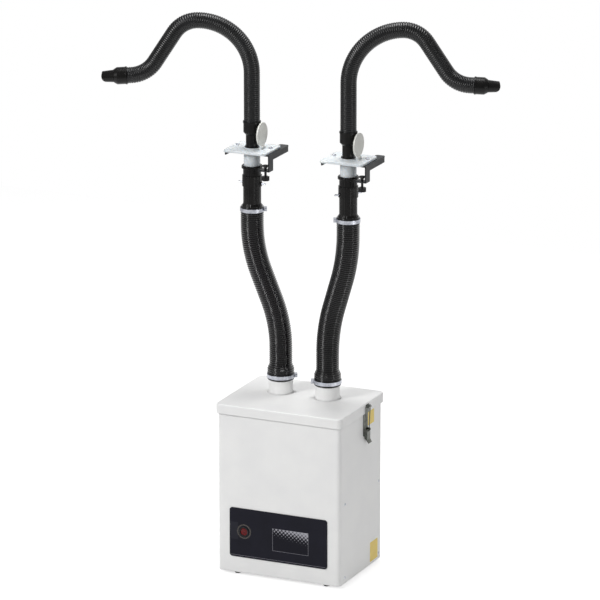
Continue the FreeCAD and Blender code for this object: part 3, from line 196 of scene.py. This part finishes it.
def hosePvc():
    # Flexible PVC over a spiral: wet-looking black, slightly cloudy from handling
    material, tree, shader, place = startMaterial("hosePvc", {
        "IOR": 1.54, "Specular IOR Level": 0.15, "Coat Weight": 0.8, "Coat Roughness": 0.17})
    weather(tree, shader, place, 35 * mm, ("#040405", "#0b0b0d"), (0.14, 0.26))
    grain(tree, shader, place, 4 * mm, 0.1 * mm)
    return material


def armPolypropylene():
    # Extruded polypropylene ribs: satin black that greys where light grazes it
    material, tree, shader, place = startMaterial("armPolypropylene", {
        "IOR": 1.49, "Specular IOR Level": 0.42})
    weather(tree, shader, place, 40 * mm, ("#060607", "#0d0e10"), (0.32, 0.39))
    grain(tree, shader, place, 3 * mm, 0.02 * mm)
    return material


def blackAbs():
    # Injection-moulded ABS with a light spark texture
    material, tree, shader, place = startMaterial("blackAbs", {"IOR": 1.53, "Specular IOR Level": 0.2})
    weather(tree, shader, place, 30 * mm, ("#080707", "#121110"), (0.26, 0.36))
    grain(tree, shader, place, 1.2 * mm, 0.04 * mm, 0.9 * mm, detail=3.0)
    return material


def flutedAbs(middle, flutes):
    # The same ABS, drawn from a mould with shallow upright flutes round its body
    material, tree, shader, place = startMaterial("flutedAbs", {"IOR": 1.53, "Specular IOR Level": 0.2})
    weather(tree, shader, place, 30 * mm, ("#080707", "#121110"), (0.22, 0.32))
    centred = addNode(tree, "ShaderNodeMapping", {"Vector": place, "Location": (-middle, 0, 0)})
    parts = addNode(tree, "ShaderNodeSeparateXYZ", {"Vector": centred.outputs["Vector"]}).outputs
    angle = addNode(tree, "ShaderNodeMath", {0: parts["Y"], 1: parts["X"]}, operation="ARCTAN2")
    waves = addNode(tree, "ShaderNodeMath", {0: angle.outputs["Value"], 1: flutes}, operation="MULTIPLY")
    height = addNode(tree, "ShaderNodeMath", {0: waves.outputs["Value"]}, operation="SINE")
    press(tree, shader, height.outputs["Value"], 0.4 * mm, 0.9 * mm)
    return material


def zincPlate():
    # Bright zinc on steel: bluish silver with soft cloudy patches
    material, tree, shader, place = startMaterial("zincPlate", {"Metallic": 1.0})
    weather(tree, shader, place, 5 * mm, ("#a9adb8", "#d2d4da"), (0.28, 0.42))
    grain(tree, shader, place, 0.6 * mm, 0.02 * mm, 0.3 * mm)
    return material


def pressedStainless():
    # Pressed stainless sheet, dulled by its forming
    material, tree, shader, place = startMaterial("pressedStainless", {"Metallic": 1.0})
    weather(tree, shader, place, 10 * mm, ("#4e514d", "#7b7d77"), (0.32, 0.46))
    grain(tree, shader, place, 0.8 * mm, 0.02 * mm, 0.4 * mm)
    return material


def blackEcoat():
    # Dipped black coat on steel plate: smooth, blue-black, thin on the edges
    material, tree, shader, place = startMaterial("blackEcoat", {"IOR": 1.5, "Specular IOR Level": 0.25})
    weather(tree, shader, place, 25 * mm, ("#0b0e12", "#14191e"), (0.34, 0.46))
    grain(tree, shader, place, 1.8 * mm, 0.05 * mm, 0.6 * mm)
    return material


def naturalPolypropylene():
    # Unpigmented polypropylene plate: milky, bluish white, lets a little light through
    material, tree, shader, place = startMaterial("naturalPolypropylene", {
        "IOR": 1.49, "Transmission Weight": 0.12, "Subsurface Weight": 0.35,
        "Subsurface Radius": (6 * mm, 7 * mm, 8 * mm), "Subsurface Scale": 1.0})
    weather(tree, shader, place, 30 * mm, ("#d9e0e5", "#e6ebee"), (0.32, 0.42))
    grain(tree, shader, place, 3 * mm, 0.05 * mm, 0.7 * mm)
    return material


def creamAbs():
    # Moulded ABS flap: warm light grey with a fine leathery grain
    material, tree, shader, place = startMaterial("creamAbs", {"IOR": 1.53})
    weather(tree, shader, place, 20 * mm, ("#cfcfc8", "#dbdbd6"), (0.42, 0.5))
    grain(tree, shader, place, 1.5 * mm, 0.08 * mm, 0.6 * mm, detail=4.0)
    return material


def blackRubber():
    # Moulded rubber: matt, dark grey, slightly dusty
    material, tree, shader, place = startMaterial("blackRubber", {"IOR": 1.52})
    weather(tree, shader, place, 12 * mm, ("#1a1a1a", "#262625"), (0.62, 0.78))
    grain(tree, shader, place, 1 * mm, 0.06 * mm, 0.8 * mm)
    return material


def closedFoam():
    # Closed-cell foam strip: grey with cells of about 1.5 mm
    material, tree, shader, place = startMaterial("closedFoam", {"IOR": 1.4})
    weather(tree, shader, place, 4 * mm, ("#4a4a4c", "#5c5c5e"), (0.8, 0.9))
    cells = addNode(tree, "ShaderNodeTexVoronoi", {"Vector": place, "Scale": 1 / (1.5 * mm)})
    press(tree, shader, cells.outputs["Distance"], 0.3 * mm)
    return material


def galvanisedSheet():
    # Hot-dip galvanised steel: grey with angular spangle of about 12 mm
    material, tree, shader, place = startMaterial("galvanisedSheet", {"Metallic": 1.0})
    spangle = addNode(tree, "ShaderNodeTexVoronoi", {"Vector": place, "Scale": 1 / (12 * mm)})
    tone = addNode(tree, "ShaderNodeSeparateColor", {"Color": spangle.outputs["Color"]}).outputs
    rough = addNode(tree, "ShaderNodeMapRange", {"Value": tone["Green"], "To Min": 0.3, "To Max": 0.5})
    paint(tree, shader, tone["Red"], "#9ba0a4", "#c3c7ca")
    tree.links.new(rough.outputs["Result"], shader.inputs["Roughness"])
    return material


def pleatedPaper():
    # Glass-fibre filter paper: off-white, fibrous and matt
    material, tree, shader, place = startMaterial("pleatedPaper", {"IOR": 1.4})
    weather(tree, shader, place, 8 * mm, ("#dcdcd2", "#eeeee8"), (0.85, 0.95))
    grain(tree, shader, place, 0.8 * mm, 0.2 * mm, detail=6.0)
    return material


def carbonGranules():
    # Activated carbon: black grains of about 3 mm with a graphite glint
    material, tree, shader, place = startMaterial("carbonGranules", {"IOR": 1.6})
    grains = addNode(tree, "ShaderNodeTexVoronoi", {"Vector": place, "Scale": 1 / (3 * mm)})
    tone = addNode(tree, "ShaderNodeSeparateColor", {"Color": grains.outputs["Color"]}).outputs
    rough = addNode(tree, "ShaderNodeMapRange", {"Value": tone["Blue"], "To Min": 0.45, "To Max": 0.8})
    paint(tree, shader, tone["Red"], "#121212", "#2c2c2c")
    tree.links.new(rough.outputs["Result"], shader.inputs["Roughness"])
    press(tree, shader, grains.outputs["Distance"], 1 * mm)
    return material


def castAlloy():
    # Die-cast aluminium: light grey, slightly mottled skin
    material, tree, shader, place = startMaterial("castAlloy", {"Metallic": 1.0})
    weather(tree, shader, place, 10 * mm, ("#9c9ea0", "#b9babb"), (0.45, 0.6))
    grain(tree, shader, place, 1.2 * mm, 0.1 * mm)
    return material


# Prints on the control panel: the window's fade runs from dark to pale up the panel, and leans by the slant.
panelPrint = {
    "window left": -14.5 * mm, "window right": 80.5 * mm, "window low": 79 * mm, "window high": 136 * mm,
    "dark": 108 * mm, "pale": 158 * mm, "slant": 0.16, "dot screen": 7.0 * mm, "dot gain": 3.0, "dot fall": 2.8,
    "line": 0.7 * mm, "inset": 3.5 * mm, "foot line": 4.2 * mm, "lift": 0.06 * mm,
    "ring inside": 15.2 * mm, "ring outside": 18.8 * mm, "ring ticks": 48, "tick share": 0.5,
    "zone left": -129 * mm, "zone right": -108 * mm, "zone low": 95 * mm, "zone high": 139 * mm,
}
# Where each work place stands, and the flutes round its valve cuff
station = {"across": 128 * mm, "plate top": 1056 * mm, "flutes": 24}
materials = {
    "coat": powderCoatWhite(), "film": navyFilm("#15151e", "#1a1a24"), "zone": navyFilm("#22222a", "#27272f"),
    "ink": greyInk("#7c7c83", "#8e8e95"), "ring ink": greyInk("#5f5b55", "#726d66"), "yellow": yellowFilm(),
    "window": printedWindow(panelPrint), "red": redPolycarbonate(), "nylon": blackNylon(), "pvc": hosePvc(),
    "arm": armPolypropylene(), "abs": blackAbs(),
    "fluted left": flutedAbs(-station["across"], station["flutes"]),
    "fluted right": flutedAbs(station["across"], station["flutes"]),
    "zinc": zincPlate(), "stainless": pressedStainless(), "ecoat": blackEcoat(),
    "plate": naturalPolypropylene(), "cream": creamAbs(), "rubber": blackRubber(), "foam": closedFoam(),
    "galvanised": galvanisedSheet(), "paper": pleatedPaper(), "carbon": carbonGranules(), "alloy": castAlloy(),
}
print("materials:", len(materials))


def addPiece(name, mesh, body):
    piece = bpy.data.objects.new(name, mesh)
    bpy.context.scene.collection.objects.link(piece)
    if body:
        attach(piece, body)
    return piece


# Starts a Geometry Nodes tree with named inputs.
def startTree(name, inputs):
    tree = bpy.data.node_groups.new(name, "GeometryNodeTree")
    tree.interface.new_socket("Geometry", in_out="INPUT", socket_type="NodeSocketGeometry")
    for label, kind in inputs.items():
        tree.interface.new_socket(label, in_out="INPUT", socket_type="NodeSocket" + kind)
    tree.interface.new_socket("Geometry", in_out="OUTPUT", socket_type="NodeSocketGeometry")
    return tree, addNode(tree, "NodeGroupInput").outputs, addNode(tree, "NodeGroupOutput")


rimAngle = math.radians(80)  # edges at a hose's rims are sharper than this, and its ribs aren't


# Runs a tree on an object, gives the result a wall, and keeps the plain mesh.
def growMesh(source, tree, values, wall):
    modifier = source.modifiers.new("grow", "NODES")
    modifier.node_group = tree
    for item in tree.interface.items_tree:
        if item.in_out == "INPUT" and item.name in values:
            modifier[item.identifier] = values[item.name]
    inner = source.modifiers.new("wall", "SOLIDIFY")
    inner.thickness = wall
    inner.offset = -1
    mesh = bpy.data.meshes.new_from_object(source.evaluated_get(bpy.context.evaluated_depsgraph_get()))
    mesh.set_sharp_from_angle(angle=rimAngle)
    bpy.data.objects.remove(source)
    return mesh


ribInputs = {
    "Ribs": "Int", "Steps": "Int", "Sides": "Int", "Root": "Float", "Crest": "Float", "Rise End": "Float",
    "Fall Start": "Float", "Fall End": "Float", "Flare": "Float", "Flare Root": "Float", "Flare Start": "Float",
    "Flare End": "Float", "Material": "Material",
}


# Ribs along a curve: the tube's radius rises and falls once for each rib, between a root and a crest that
# are wider at a flared start.
def ribTree():
    tree, given, end = startTree("ribs", ribInputs)
    rings = addNode(tree, "ShaderNodeMath", {0: given["Ribs"], 1: given["Steps"], 2: 1.0},
                    operation="MULTIPLY_ADD").outputs["Value"]
    line = addNode(tree, "GeometryNodeResampleCurve", {"Curve": given["Geometry"], "Count": rings},
                   mode="COUNT")
    spot = addNode(tree, "GeometryNodeSplineParameter").outputs
    turns = addNode(tree, "ShaderNodeMath", {0: spot["Factor"], 1: given["Ribs"]}, operation="MULTIPLY")
    share = addNode(tree, "ShaderNodeMath", {0: turns.outputs["Value"]}, operation="FRACT").outputs["Value"]
    rise = addNode(tree, "ShaderNodeMapRange", {"Value": share, "From Max": given["Rise End"]},
                   interpolation_type="SMOOTHSTEP").outputs["Result"]
    fall = addNode(tree, "ShaderNodeMapRange", {
        "Value": share, "From Min": given["Fall Start"], "From Max": given["Fall End"]},
                   interpolation_type="SMOOTHSTEP").outputs["Result"]
    rib = addNode(tree, "ShaderNodeMath", {0: rise, 1: fall}, operation="SUBTRACT").outputs["Value"]
    plain = addNode(tree, "ShaderNodeMapRange", {
        "Value": spot["Length"], "From Min": given["Flare Start"], "From Max": given["Flare End"]},
                    interpolation_type="SMOOTHSTEP").outputs["Result"]
    root, crest = (addNode(tree, "ShaderNodeMapRange", {
        "Value": plain, "To Min": given[flared], "To Max": given[straight]}).outputs["Result"]
                   for flared, straight in (("Flare Root", "Root"), ("Flare", "Crest")))
    full = addNode(tree, "ShaderNodeMapRange", {"Value": rib, "To Min": root, "To Max": crest})
    ring = addNode(tree, "GeometryNodeCurvePrimitiveCircle", {"Resolution": given["Sides"], "Radius": 1.0})
    tube = addNode(tree, "GeometryNodeCurveToMesh", {
        "Curve": line.outputs["Curve"], "Profile Curve": ring.outputs["Curve"],
        "Scale": full.outputs["Result"]})
    smooth = addNode(tree, "GeometryNodeSetShadeSmooth", {"Geometry": tube.outputs["Mesh"]})
    real = addNode(tree, "GeometryNodeRealizeInstances", {"Geometry": smooth.outputs["Geometry"]})
    painted = addNode(tree, "GeometryNodeSetMaterial", {
        "Geometry": real.outputs["Geometry"], "Material": given["Material"]})
    tree.links.new(painted.outputs["Geometry"], end.inputs["Geometry"])
    return tree


# The rib tree's inputs from a hose's dictionary. A hose that gives no flare keeps its ribs to the end.
def ribValues(look, ribs, material):
    plain = {"flare root": look["root"], "flare": look["crest"], "flare start": 0.0, "flare end": 1.0}
    values = {**plain, **look, "ribs": ribs, "material": materials[material]}
    return {name: values[name.lower()] for name in ribInputs}


# How far out and up a route of straights and arcs is at a distance along it, starting straight up.
def spotAlong(route, distance):
    heading, out, up = math.pi / 2, 0.0, 0.0
    for length, turn in route:
        step = min(distance, length)
        if turn:
            bend = turn / length
            out += (math.sin(heading + bend * step) - math.sin(heading)) / bend
            up += (math.cos(heading) - math.cos(heading + bend * step)) / bend
            heading += bend * step
        else:
            out += math.cos(heading) * step
            up += math.sin(heading) * step
        distance -= step
        if distance <= 0:
            break
    return out, up


def lineObject(points):
    data = bpy.data.curves.new("line", "CURVE")
    data.dimensions = "3D"
    spline = data.splines.new("POLY")
    spline.points.add(len(points) - 1)
    for spot, point in zip(spline.points, points):
        spot.co = (*point, 1)
    line = bpy.data.objects.new("line", data)
    bpy.context.scene.collection.objects.link(line)
    return line


# Stay-put arms: straight up, over in two arcs, down a slope and out level to the nozzle. Turns and the
# bearing are in degrees, and the rise and fall of a rib are shares of the pitch.
armHose = {
    "foot": 40.3 * mm, "riser": 186 * mm, "first arc": 131 * mm, "second arc": 67 * mm, "second turn": 57,
    "slope": 86.5 * mm, "last arc": 72 * mm, "last turn": 54, "level": 27 * mm, "bearing": 24.4,
    "low bend": 168 * mm, "bend reach": 38 * mm, "root": 18.7 * mm, "crest": 19.8 * mm, "pitch": 5 * mm,
    "rise end": 0.14, "fall start": 0.72, "fall end": 0.86,
    "steps": 9, "sides": 40, "wall": 1.3 * mm, "sample": 2.5 * mm,
}


def buildArm(side, tree):
    lean, rise = math.radians(armHose["second turn"]), math.radians(armHose["last turn"])
    firstArc, secondArc = armHose["first arc"] * math.pi / 2, armHose["second arc"] * lean
    route = [(armHose["riser"], 0), (firstArc, -math.pi / 2), (secondArc, -lean), (armHose["slope"], 0),
             (armHose["last arc"] * rise, rise), (armHose["level"], 0)]
    bearing = math.radians(armHose["bearing"])

    def spot(distance):
        out, up = spotAlong(route, distance)
        return Vector((sides[side] * (station["across"] + math.cos(bearing) * out),
                       sides[side] * math.sin(bearing) * out, station["plate top"] + up))

    foot, end = armHose["foot"], sum(length for length, turn in route)
    peak = armHose["riser"] + firstArc
    lowerRibs = round((peak - foot) / armHose["pitch"])
    parting = foot + lowerRibs * armHose["pitch"]
    # Two stretches: the name, start, end and ribs, the bodies on both sides of the bend, the middle of the
    # bend, and the nodes that the stretch stands for
    stretches = (
        ("lower", foot, parting, lowerRibs, ("arm_base_", "arm_arch_"), armHose["low bend"],
         ("arm_hose_riser_", "arm_flex_low_", "arm_hose_arch_")),
        ("upper", parting, end, round((end - parting) / armHose["pitch"]), ("arm_arch_", "arm_tip_"),
         peak + secondArc + armHose["slope"] / 2, ("arm_flex_high_", "arm_hose_tip_")))
    for name, start, stop, ribs, pair, bend, nodes in stretches:
        samples = round((stop - start) / armHose["sample"])
        points = [spot(start + (stop - start) * i / samples) for i in range(samples + 1)]
        mesh = growMesh(lineObject(points), tree, ribValues(armHose, ribs, "arm"), armHose["wall"])
        piece = addPiece("armHose_" + name + "_" + side, mesh, None)
        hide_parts(*(node + side for node in nodes))
        tuple(spot(bend - armHose["bend reach"]))
        tuple(spot(bend + armHose["bend reach"]))
        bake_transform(piece)


# Lower hoses: from the cabinet's spigots up to the valve cuffs under the bench plates. They flare over the
# spigots, and lean on the way by an angle in degrees.
lowerHose = {
    "low": (63 * mm, 25 * mm, 471 * mm), "high": (station["across"], 0, 912 * mm),
    "low straight": 80 * mm, "high straight": 46 * mm, "lean": 20,
    "root": 26.2 * mm, "crest": 28.5 * mm, "pitch": 5.2 * mm, "rise end": 0.34, "fall start": 0.44,
    "fall end": 0.78, "steps": 9, "sides": 44, "wall": 1.2 * mm,
    "flare root": 31.8 * mm, "flare": 33.4 * mm, "flare start": 27.3 * mm, "flare end": 41.3 * mm,
    "sample": 3 * mm,
}


def buildLowerHose(side, tree):
    low, high = Vector(lowerHose["low"]), Vector(lowerHose["high"])
    away = high - low
    offset = math.hypot(away.x, away.y)
    rise = away.z - lowerHose["low straight"] - lowerHose["high straight"]
    lean = math.radians(lowerHose["lean"])
    lag = 1 - math.cos(lean)
    # The slope between two equal arcs, so that the run ends at the cuff
    slope = (offset * math.sin(lean) - rise * lag) / (math.sin(lean) ** 2 - math.cos(lean) * lag)
    arc = (offset - slope * math.sin(lean)) / (2 * lag) * lean
    route = [(lowerHose["low straight"], 0), (arc, -lean), (slope, 0), (arc, lean),
             (lowerHose["high straight"], 0)]
    length = sum(part for part, turn in route)
    samples = round(length / lowerHose["sample"])
    points = []
    for i in range(samples + 1):
        out, up = spotAlong(route, length * i / samples)
        across = out / offset
        points.append((sides[side] * (low.x + away.x * across), low.y + away.y * across, low.z + up))
    ribs = round(length / lowerHose["pitch"])
    mesh = growMesh(lineObject(points), tree, ribValues(lowerHose, ribs, "pvc"), lowerHose["wall"])
    piece = addPiece("lowerHose_" + side, mesh, "cabinet")
    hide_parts("lower_hose_" + side)


# One flat piece from the corners of each of its faces
def flatPiece(name, outlines, material):
    shape = bmesh.new()
    for outline in outlines:
        shape.faces.new([shape.verts.new(corner) for corner in outline])
    mesh = bpy.data.meshes.new(name)
    shape.to_mesh(mesh)
    shape.free()
    mesh.materials.append(materials[material])
    addPiece(name, mesh, "cabinet")


# Prints lie a hair in front of the control panel, from outlines of x and z. What lies over another print is
# a layer higher.
def printPiece(name, outlines, material, layer=1):
    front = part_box("control_panel")[0][1] - layer * panelPrint["lift"]
    flatPiece(name, [[(x, front, z) for x, z in outline] for outline in outlines], material)


def rectangle(left, right, low, high):
    return ((left, low), (right, low), (right, high), (left, high))


def buildPanelPrint():
    look = panelPrint
    window, zone = ([look[part + edge] for edge in ("left", "right", "low", "high")]
                    for part in ("window ", "zone "))
    printPiece("panelWindow", [rectangle(*window)], "window")
    printPiece("panelZone", [rectangle(*zone)], "zone")
    left, right, low, high = window
    panelLow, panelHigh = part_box("control_panel")
    foot, line = panelLow[2] + look["foot line"], look["line"]
    printPiece("panelLines", [
        rectangle(left - line, left, low - line, high), rectangle(right, right + line, low - line, high),
        rectangle(left, right, low - line, low),
        rectangle(panelLow[0] + look["inset"], panelHigh[0] - look["inset"], foot, foot + line)], "ink")
    keyLow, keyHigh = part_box("switch_bezel")
    across, upright = (keyLow[0] + keyHigh[0]) / 2, (keyLow[2] + keyHigh[2]) / 2
    ticks = []
    for i in range(look["ring ticks"]):
        a, b = (2 * math.pi * (i + end) / look["ring ticks"] for end in (0, look["tick share"]))
        ticks.append([(across + radius * math.cos(angle), upright + radius * math.sin(angle))
                      for radius, angle in ((look["ring inside"], a), (look["ring outside"], a),
                                            (look["ring outside"], b), (look["ring inside"], b))])
    printPiece("switchRing", ticks, "ring ink", layer=2)


# Blank yellow films on the right side: front, back, low and high
yellowPatches = {
    "upper": (40 * mm, 79 * mm, 374 * mm, 409 * mm), "lower": (57 * mm, 104 * mm, 15 * mm, 66 * mm),
    "corner": 2 * mm, "corner steps": 4, "lift": 0.1 * mm,
}


def buildYellowFilms():
    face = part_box("cabinet_shell")[1][0] + yellowPatches["lift"]
    corner, steps = yellowPatches["corner"], yellowPatches["corner steps"]
    for name in ("upper", "lower"):
        front, back, low, high = yellowPatches[name]
        outline = []
        centres = ((back - corner, high - corner), (front + corner, high - corner),
                   (front + corner, low + corner), (back - corner, low + corner))
        for turn, (y, z) in enumerate(centres):
            for step in range(steps + 1):
                angle = (turn + step / steps) * math.pi / 2
                outline.append((face, y + corner * math.cos(angle), z + corner * math.sin(angle)))
        flatPiece("yellowFilm_" + name, [outline], "yellow")


# What each CAD node is made of
finishes = {
    "cabinet_shell": "coat", "base_pan": "coat", "rear_panel": "coat", "lid": "coat", "spigots": "coat",
    "control_panel": "film", "switch_bezel": "nylon", "switch_rocker": "red", "feet": "rubber",
    "power_inlet": "nylon", "panel_screws": "zinc", "latch_plates": "stainless", "latch_keepers": "stainless",
    "latch_lever_left": "stainless", "latch_lever_right": "stainless", "latch_bail_left": "stainless",
    "latch_bail_right": "stainless", "hose_clips": "zinc", "plate_fasteners": "zinc", "lid_seal": "foam",
    "shelf": "galvanised", "gas_filter": "carbon", "particle_filter": "paper", "prefilter": "paper",
    "filter_gasket": "foam", "blower_housing": "galvanised", "motor": "alloy", "impeller": "nylon",
}
stationFinishes = {
    "valve_damper_": "zinc", "mount_plate_": "plate", "flap_": "cream", "bench_bracket_": "ecoat",
    "clamp_screw_": "nylon", "clamp_pad_": "rubber", "arm_cuff_": "abs", "nozzle_collar_": "abs",
    "nozzle_": "abs",
}


def dressNode(name, material):
    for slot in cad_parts[name].material_slots:
        slot.material = materials[material]


def buildCabinet():
    for name, material in finishes.items():
        dressNode(name, material)
    buildPanelPrint()
    buildYellowFilms()
    print("cabinet dressed")


def buildStations():
    tree = ribTree()
    for side in sides:
        for name, material in stationFinishes.items():
            dressNode(name + side, material)
        dressNode("valve_cuff_" + side, "fluted " + side)
        buildArm(side, tree)
        buildLowerHose(side, tree)
        print("work place dressed:", side)


# Studio: a white floor and backdrop, a dim room in front, soft light from the left, the right and above.
# The backdrop's mirror image fades in between two slopes of the ray towards the back.
studio = {
    "azimuth": 24.4, "elevation": 16.0, "distance": 12.0, "lens": 295.0, "sensor": 36, "sight": 100,
    "aim": (0.0, 0.0, 0.686), "sky": 0.35, "room": 0.12, "backdrop start": 0.35, "backdrop end": 0.95,
    "key": 98.0, "key place": (-1.9, -3.3, 2.6), "key size": 1.1,
    "fill": 20.0, "fill place": (3.7, -0.85, 0.6), "fill size": 0.6,
    "top": 31.0, "top place": (0.0, 0.25, 2.8), "top size": 0.8,
    "floor": "#d2d2d2", "floor roughness": 0.9, "floor glow": 0.68, "floor reach": 3.0,
}
white = (1, 1, 1, 1)


def buildCamera():
    data = bpy.data.cameras.new("camera")
    data.lens = studio["lens"]
    data.sensor_width = studio["sensor"]
    data.clip_end = studio["sight"]
    camera = bpy.data.objects.new("camera", data)
    turn, tilt = math.radians(studio["azimuth"]), math.radians(studio["elevation"])
    back = Vector((math.sin(turn) * math.cos(tilt), -math.cos(turn) * math.cos(tilt), math.sin(tilt)))
    camera.location = Vector(studio["aim"]) + back * studio["distance"]
    camera.rotation_euler = (-back).to_track_quat("-Z", "Y").to_euler()
    bpy.context.scene.collection.objects.link(camera)
    bpy.context.scene.camera = camera


# The kinds of ray, and whether one comes from the camera, straight or through something clear
def readRays(tree):
    rays = addNode(tree, "ShaderNodeLightPath").outputs
    direct = addNode(tree, "ShaderNodeMath", {0: rays["Is Camera Ray"], 1: rays["Is Transmission Ray"]},
                     operation="MAXIMUM")
    return rays, direct.outputs["Value"]


def buildFloor():
    reach = studio["floor reach"]
    mesh = bpy.data.meshes.new("floor")
    mesh.from_pydata([(-reach, -reach, 0), (reach, -reach, 0), (reach, reach, 0), (-reach, reach, 0)], [],
                     [(0, 1, 2, 3)])
    material, tree, shader, place = startMaterial("studioFloor", {
        "Base Color": fromHex(studio["floor"]), "Roughness": studio["floor roughness"],
        "Emission Color": white})
    rays, direct = readRays(tree)
    seen = addNode(tree, "ShaderNodeMath", {0: direct, 1: rays["Is Glossy Ray"]}, operation="MAXIMUM")
    glow = addNode(tree, "ShaderNodeMath", {0: seen.outputs["Value"], 1: studio["floor glow"]},
                   operation="MULTIPLY")
    tree.links.new(glow.outputs["Value"], shader.inputs["Emission Strength"])
    mesh.materials.append(material)
    floor = bpy.data.objects.new("floor", mesh)
    bpy.context.scene.collection.objects.link(floor)


def buildSky():
    world = bpy.data.worlds.new("sky")
    world.use_nodes = True
    bpy.context.scene.world = world
    tree = world.node_tree
    background = tree.nodes["Background"]
    rays, direct = readRays(tree)
    way = addNode(tree, "ShaderNodeTexCoord").outputs["Generated"]
    slope = addNode(tree, "ShaderNodeSeparateXYZ", {"Vector": way}).outputs["Y"]
    mirrored = addNode(tree, "ShaderNodeMapRange", {
        "Value": slope, "From Min": studio["backdrop start"], "From Max": studio["backdrop end"],
        "To Min": studio["room"]})
    glossy = addNode(tree, "ShaderNodeMath", {0: rays["Is Glossy Ray"], 1: mirrored.outputs["Result"]},
                     operation="MULTIPLY")
    seen = addNode(tree, "ShaderNodeMath", {0: direct, 1: glossy.outputs["Value"]}, operation="MAXIMUM")
    level = addNode(tree, "ShaderNodeMath", {0: seen.outputs["Value"], 1: studio["sky"]}, operation="MAXIMUM")
    tree.links.new(level.outputs["Value"], background.inputs["Strength"])
    background.inputs["Color"].default_value = white


def buildLamp(name):
    data = bpy.data.lights.new(name, "AREA")
    data.energy = studio[name]
    data.size = studio[name + " size"]
    lamp = bpy.data.objects.new(name, data)
    lamp.location = studio[name + " place"]
    lamp.rotation_euler = (Vector(studio["aim"]) - lamp.location).to_track_quat("-Z", "Y").to_euler()
    bpy.context.scene.collection.objects.link(lamp)


def buildStudio():
    buildCamera()
    buildFloor()
    buildSky()
    for name in ("key", "fill", "top"):
        buildLamp(name)
    bpy.context.scene.view_settings.view_transform = "Standard"
    print("studio ready")


buildStudio()
buildStations()
buildCabinet()
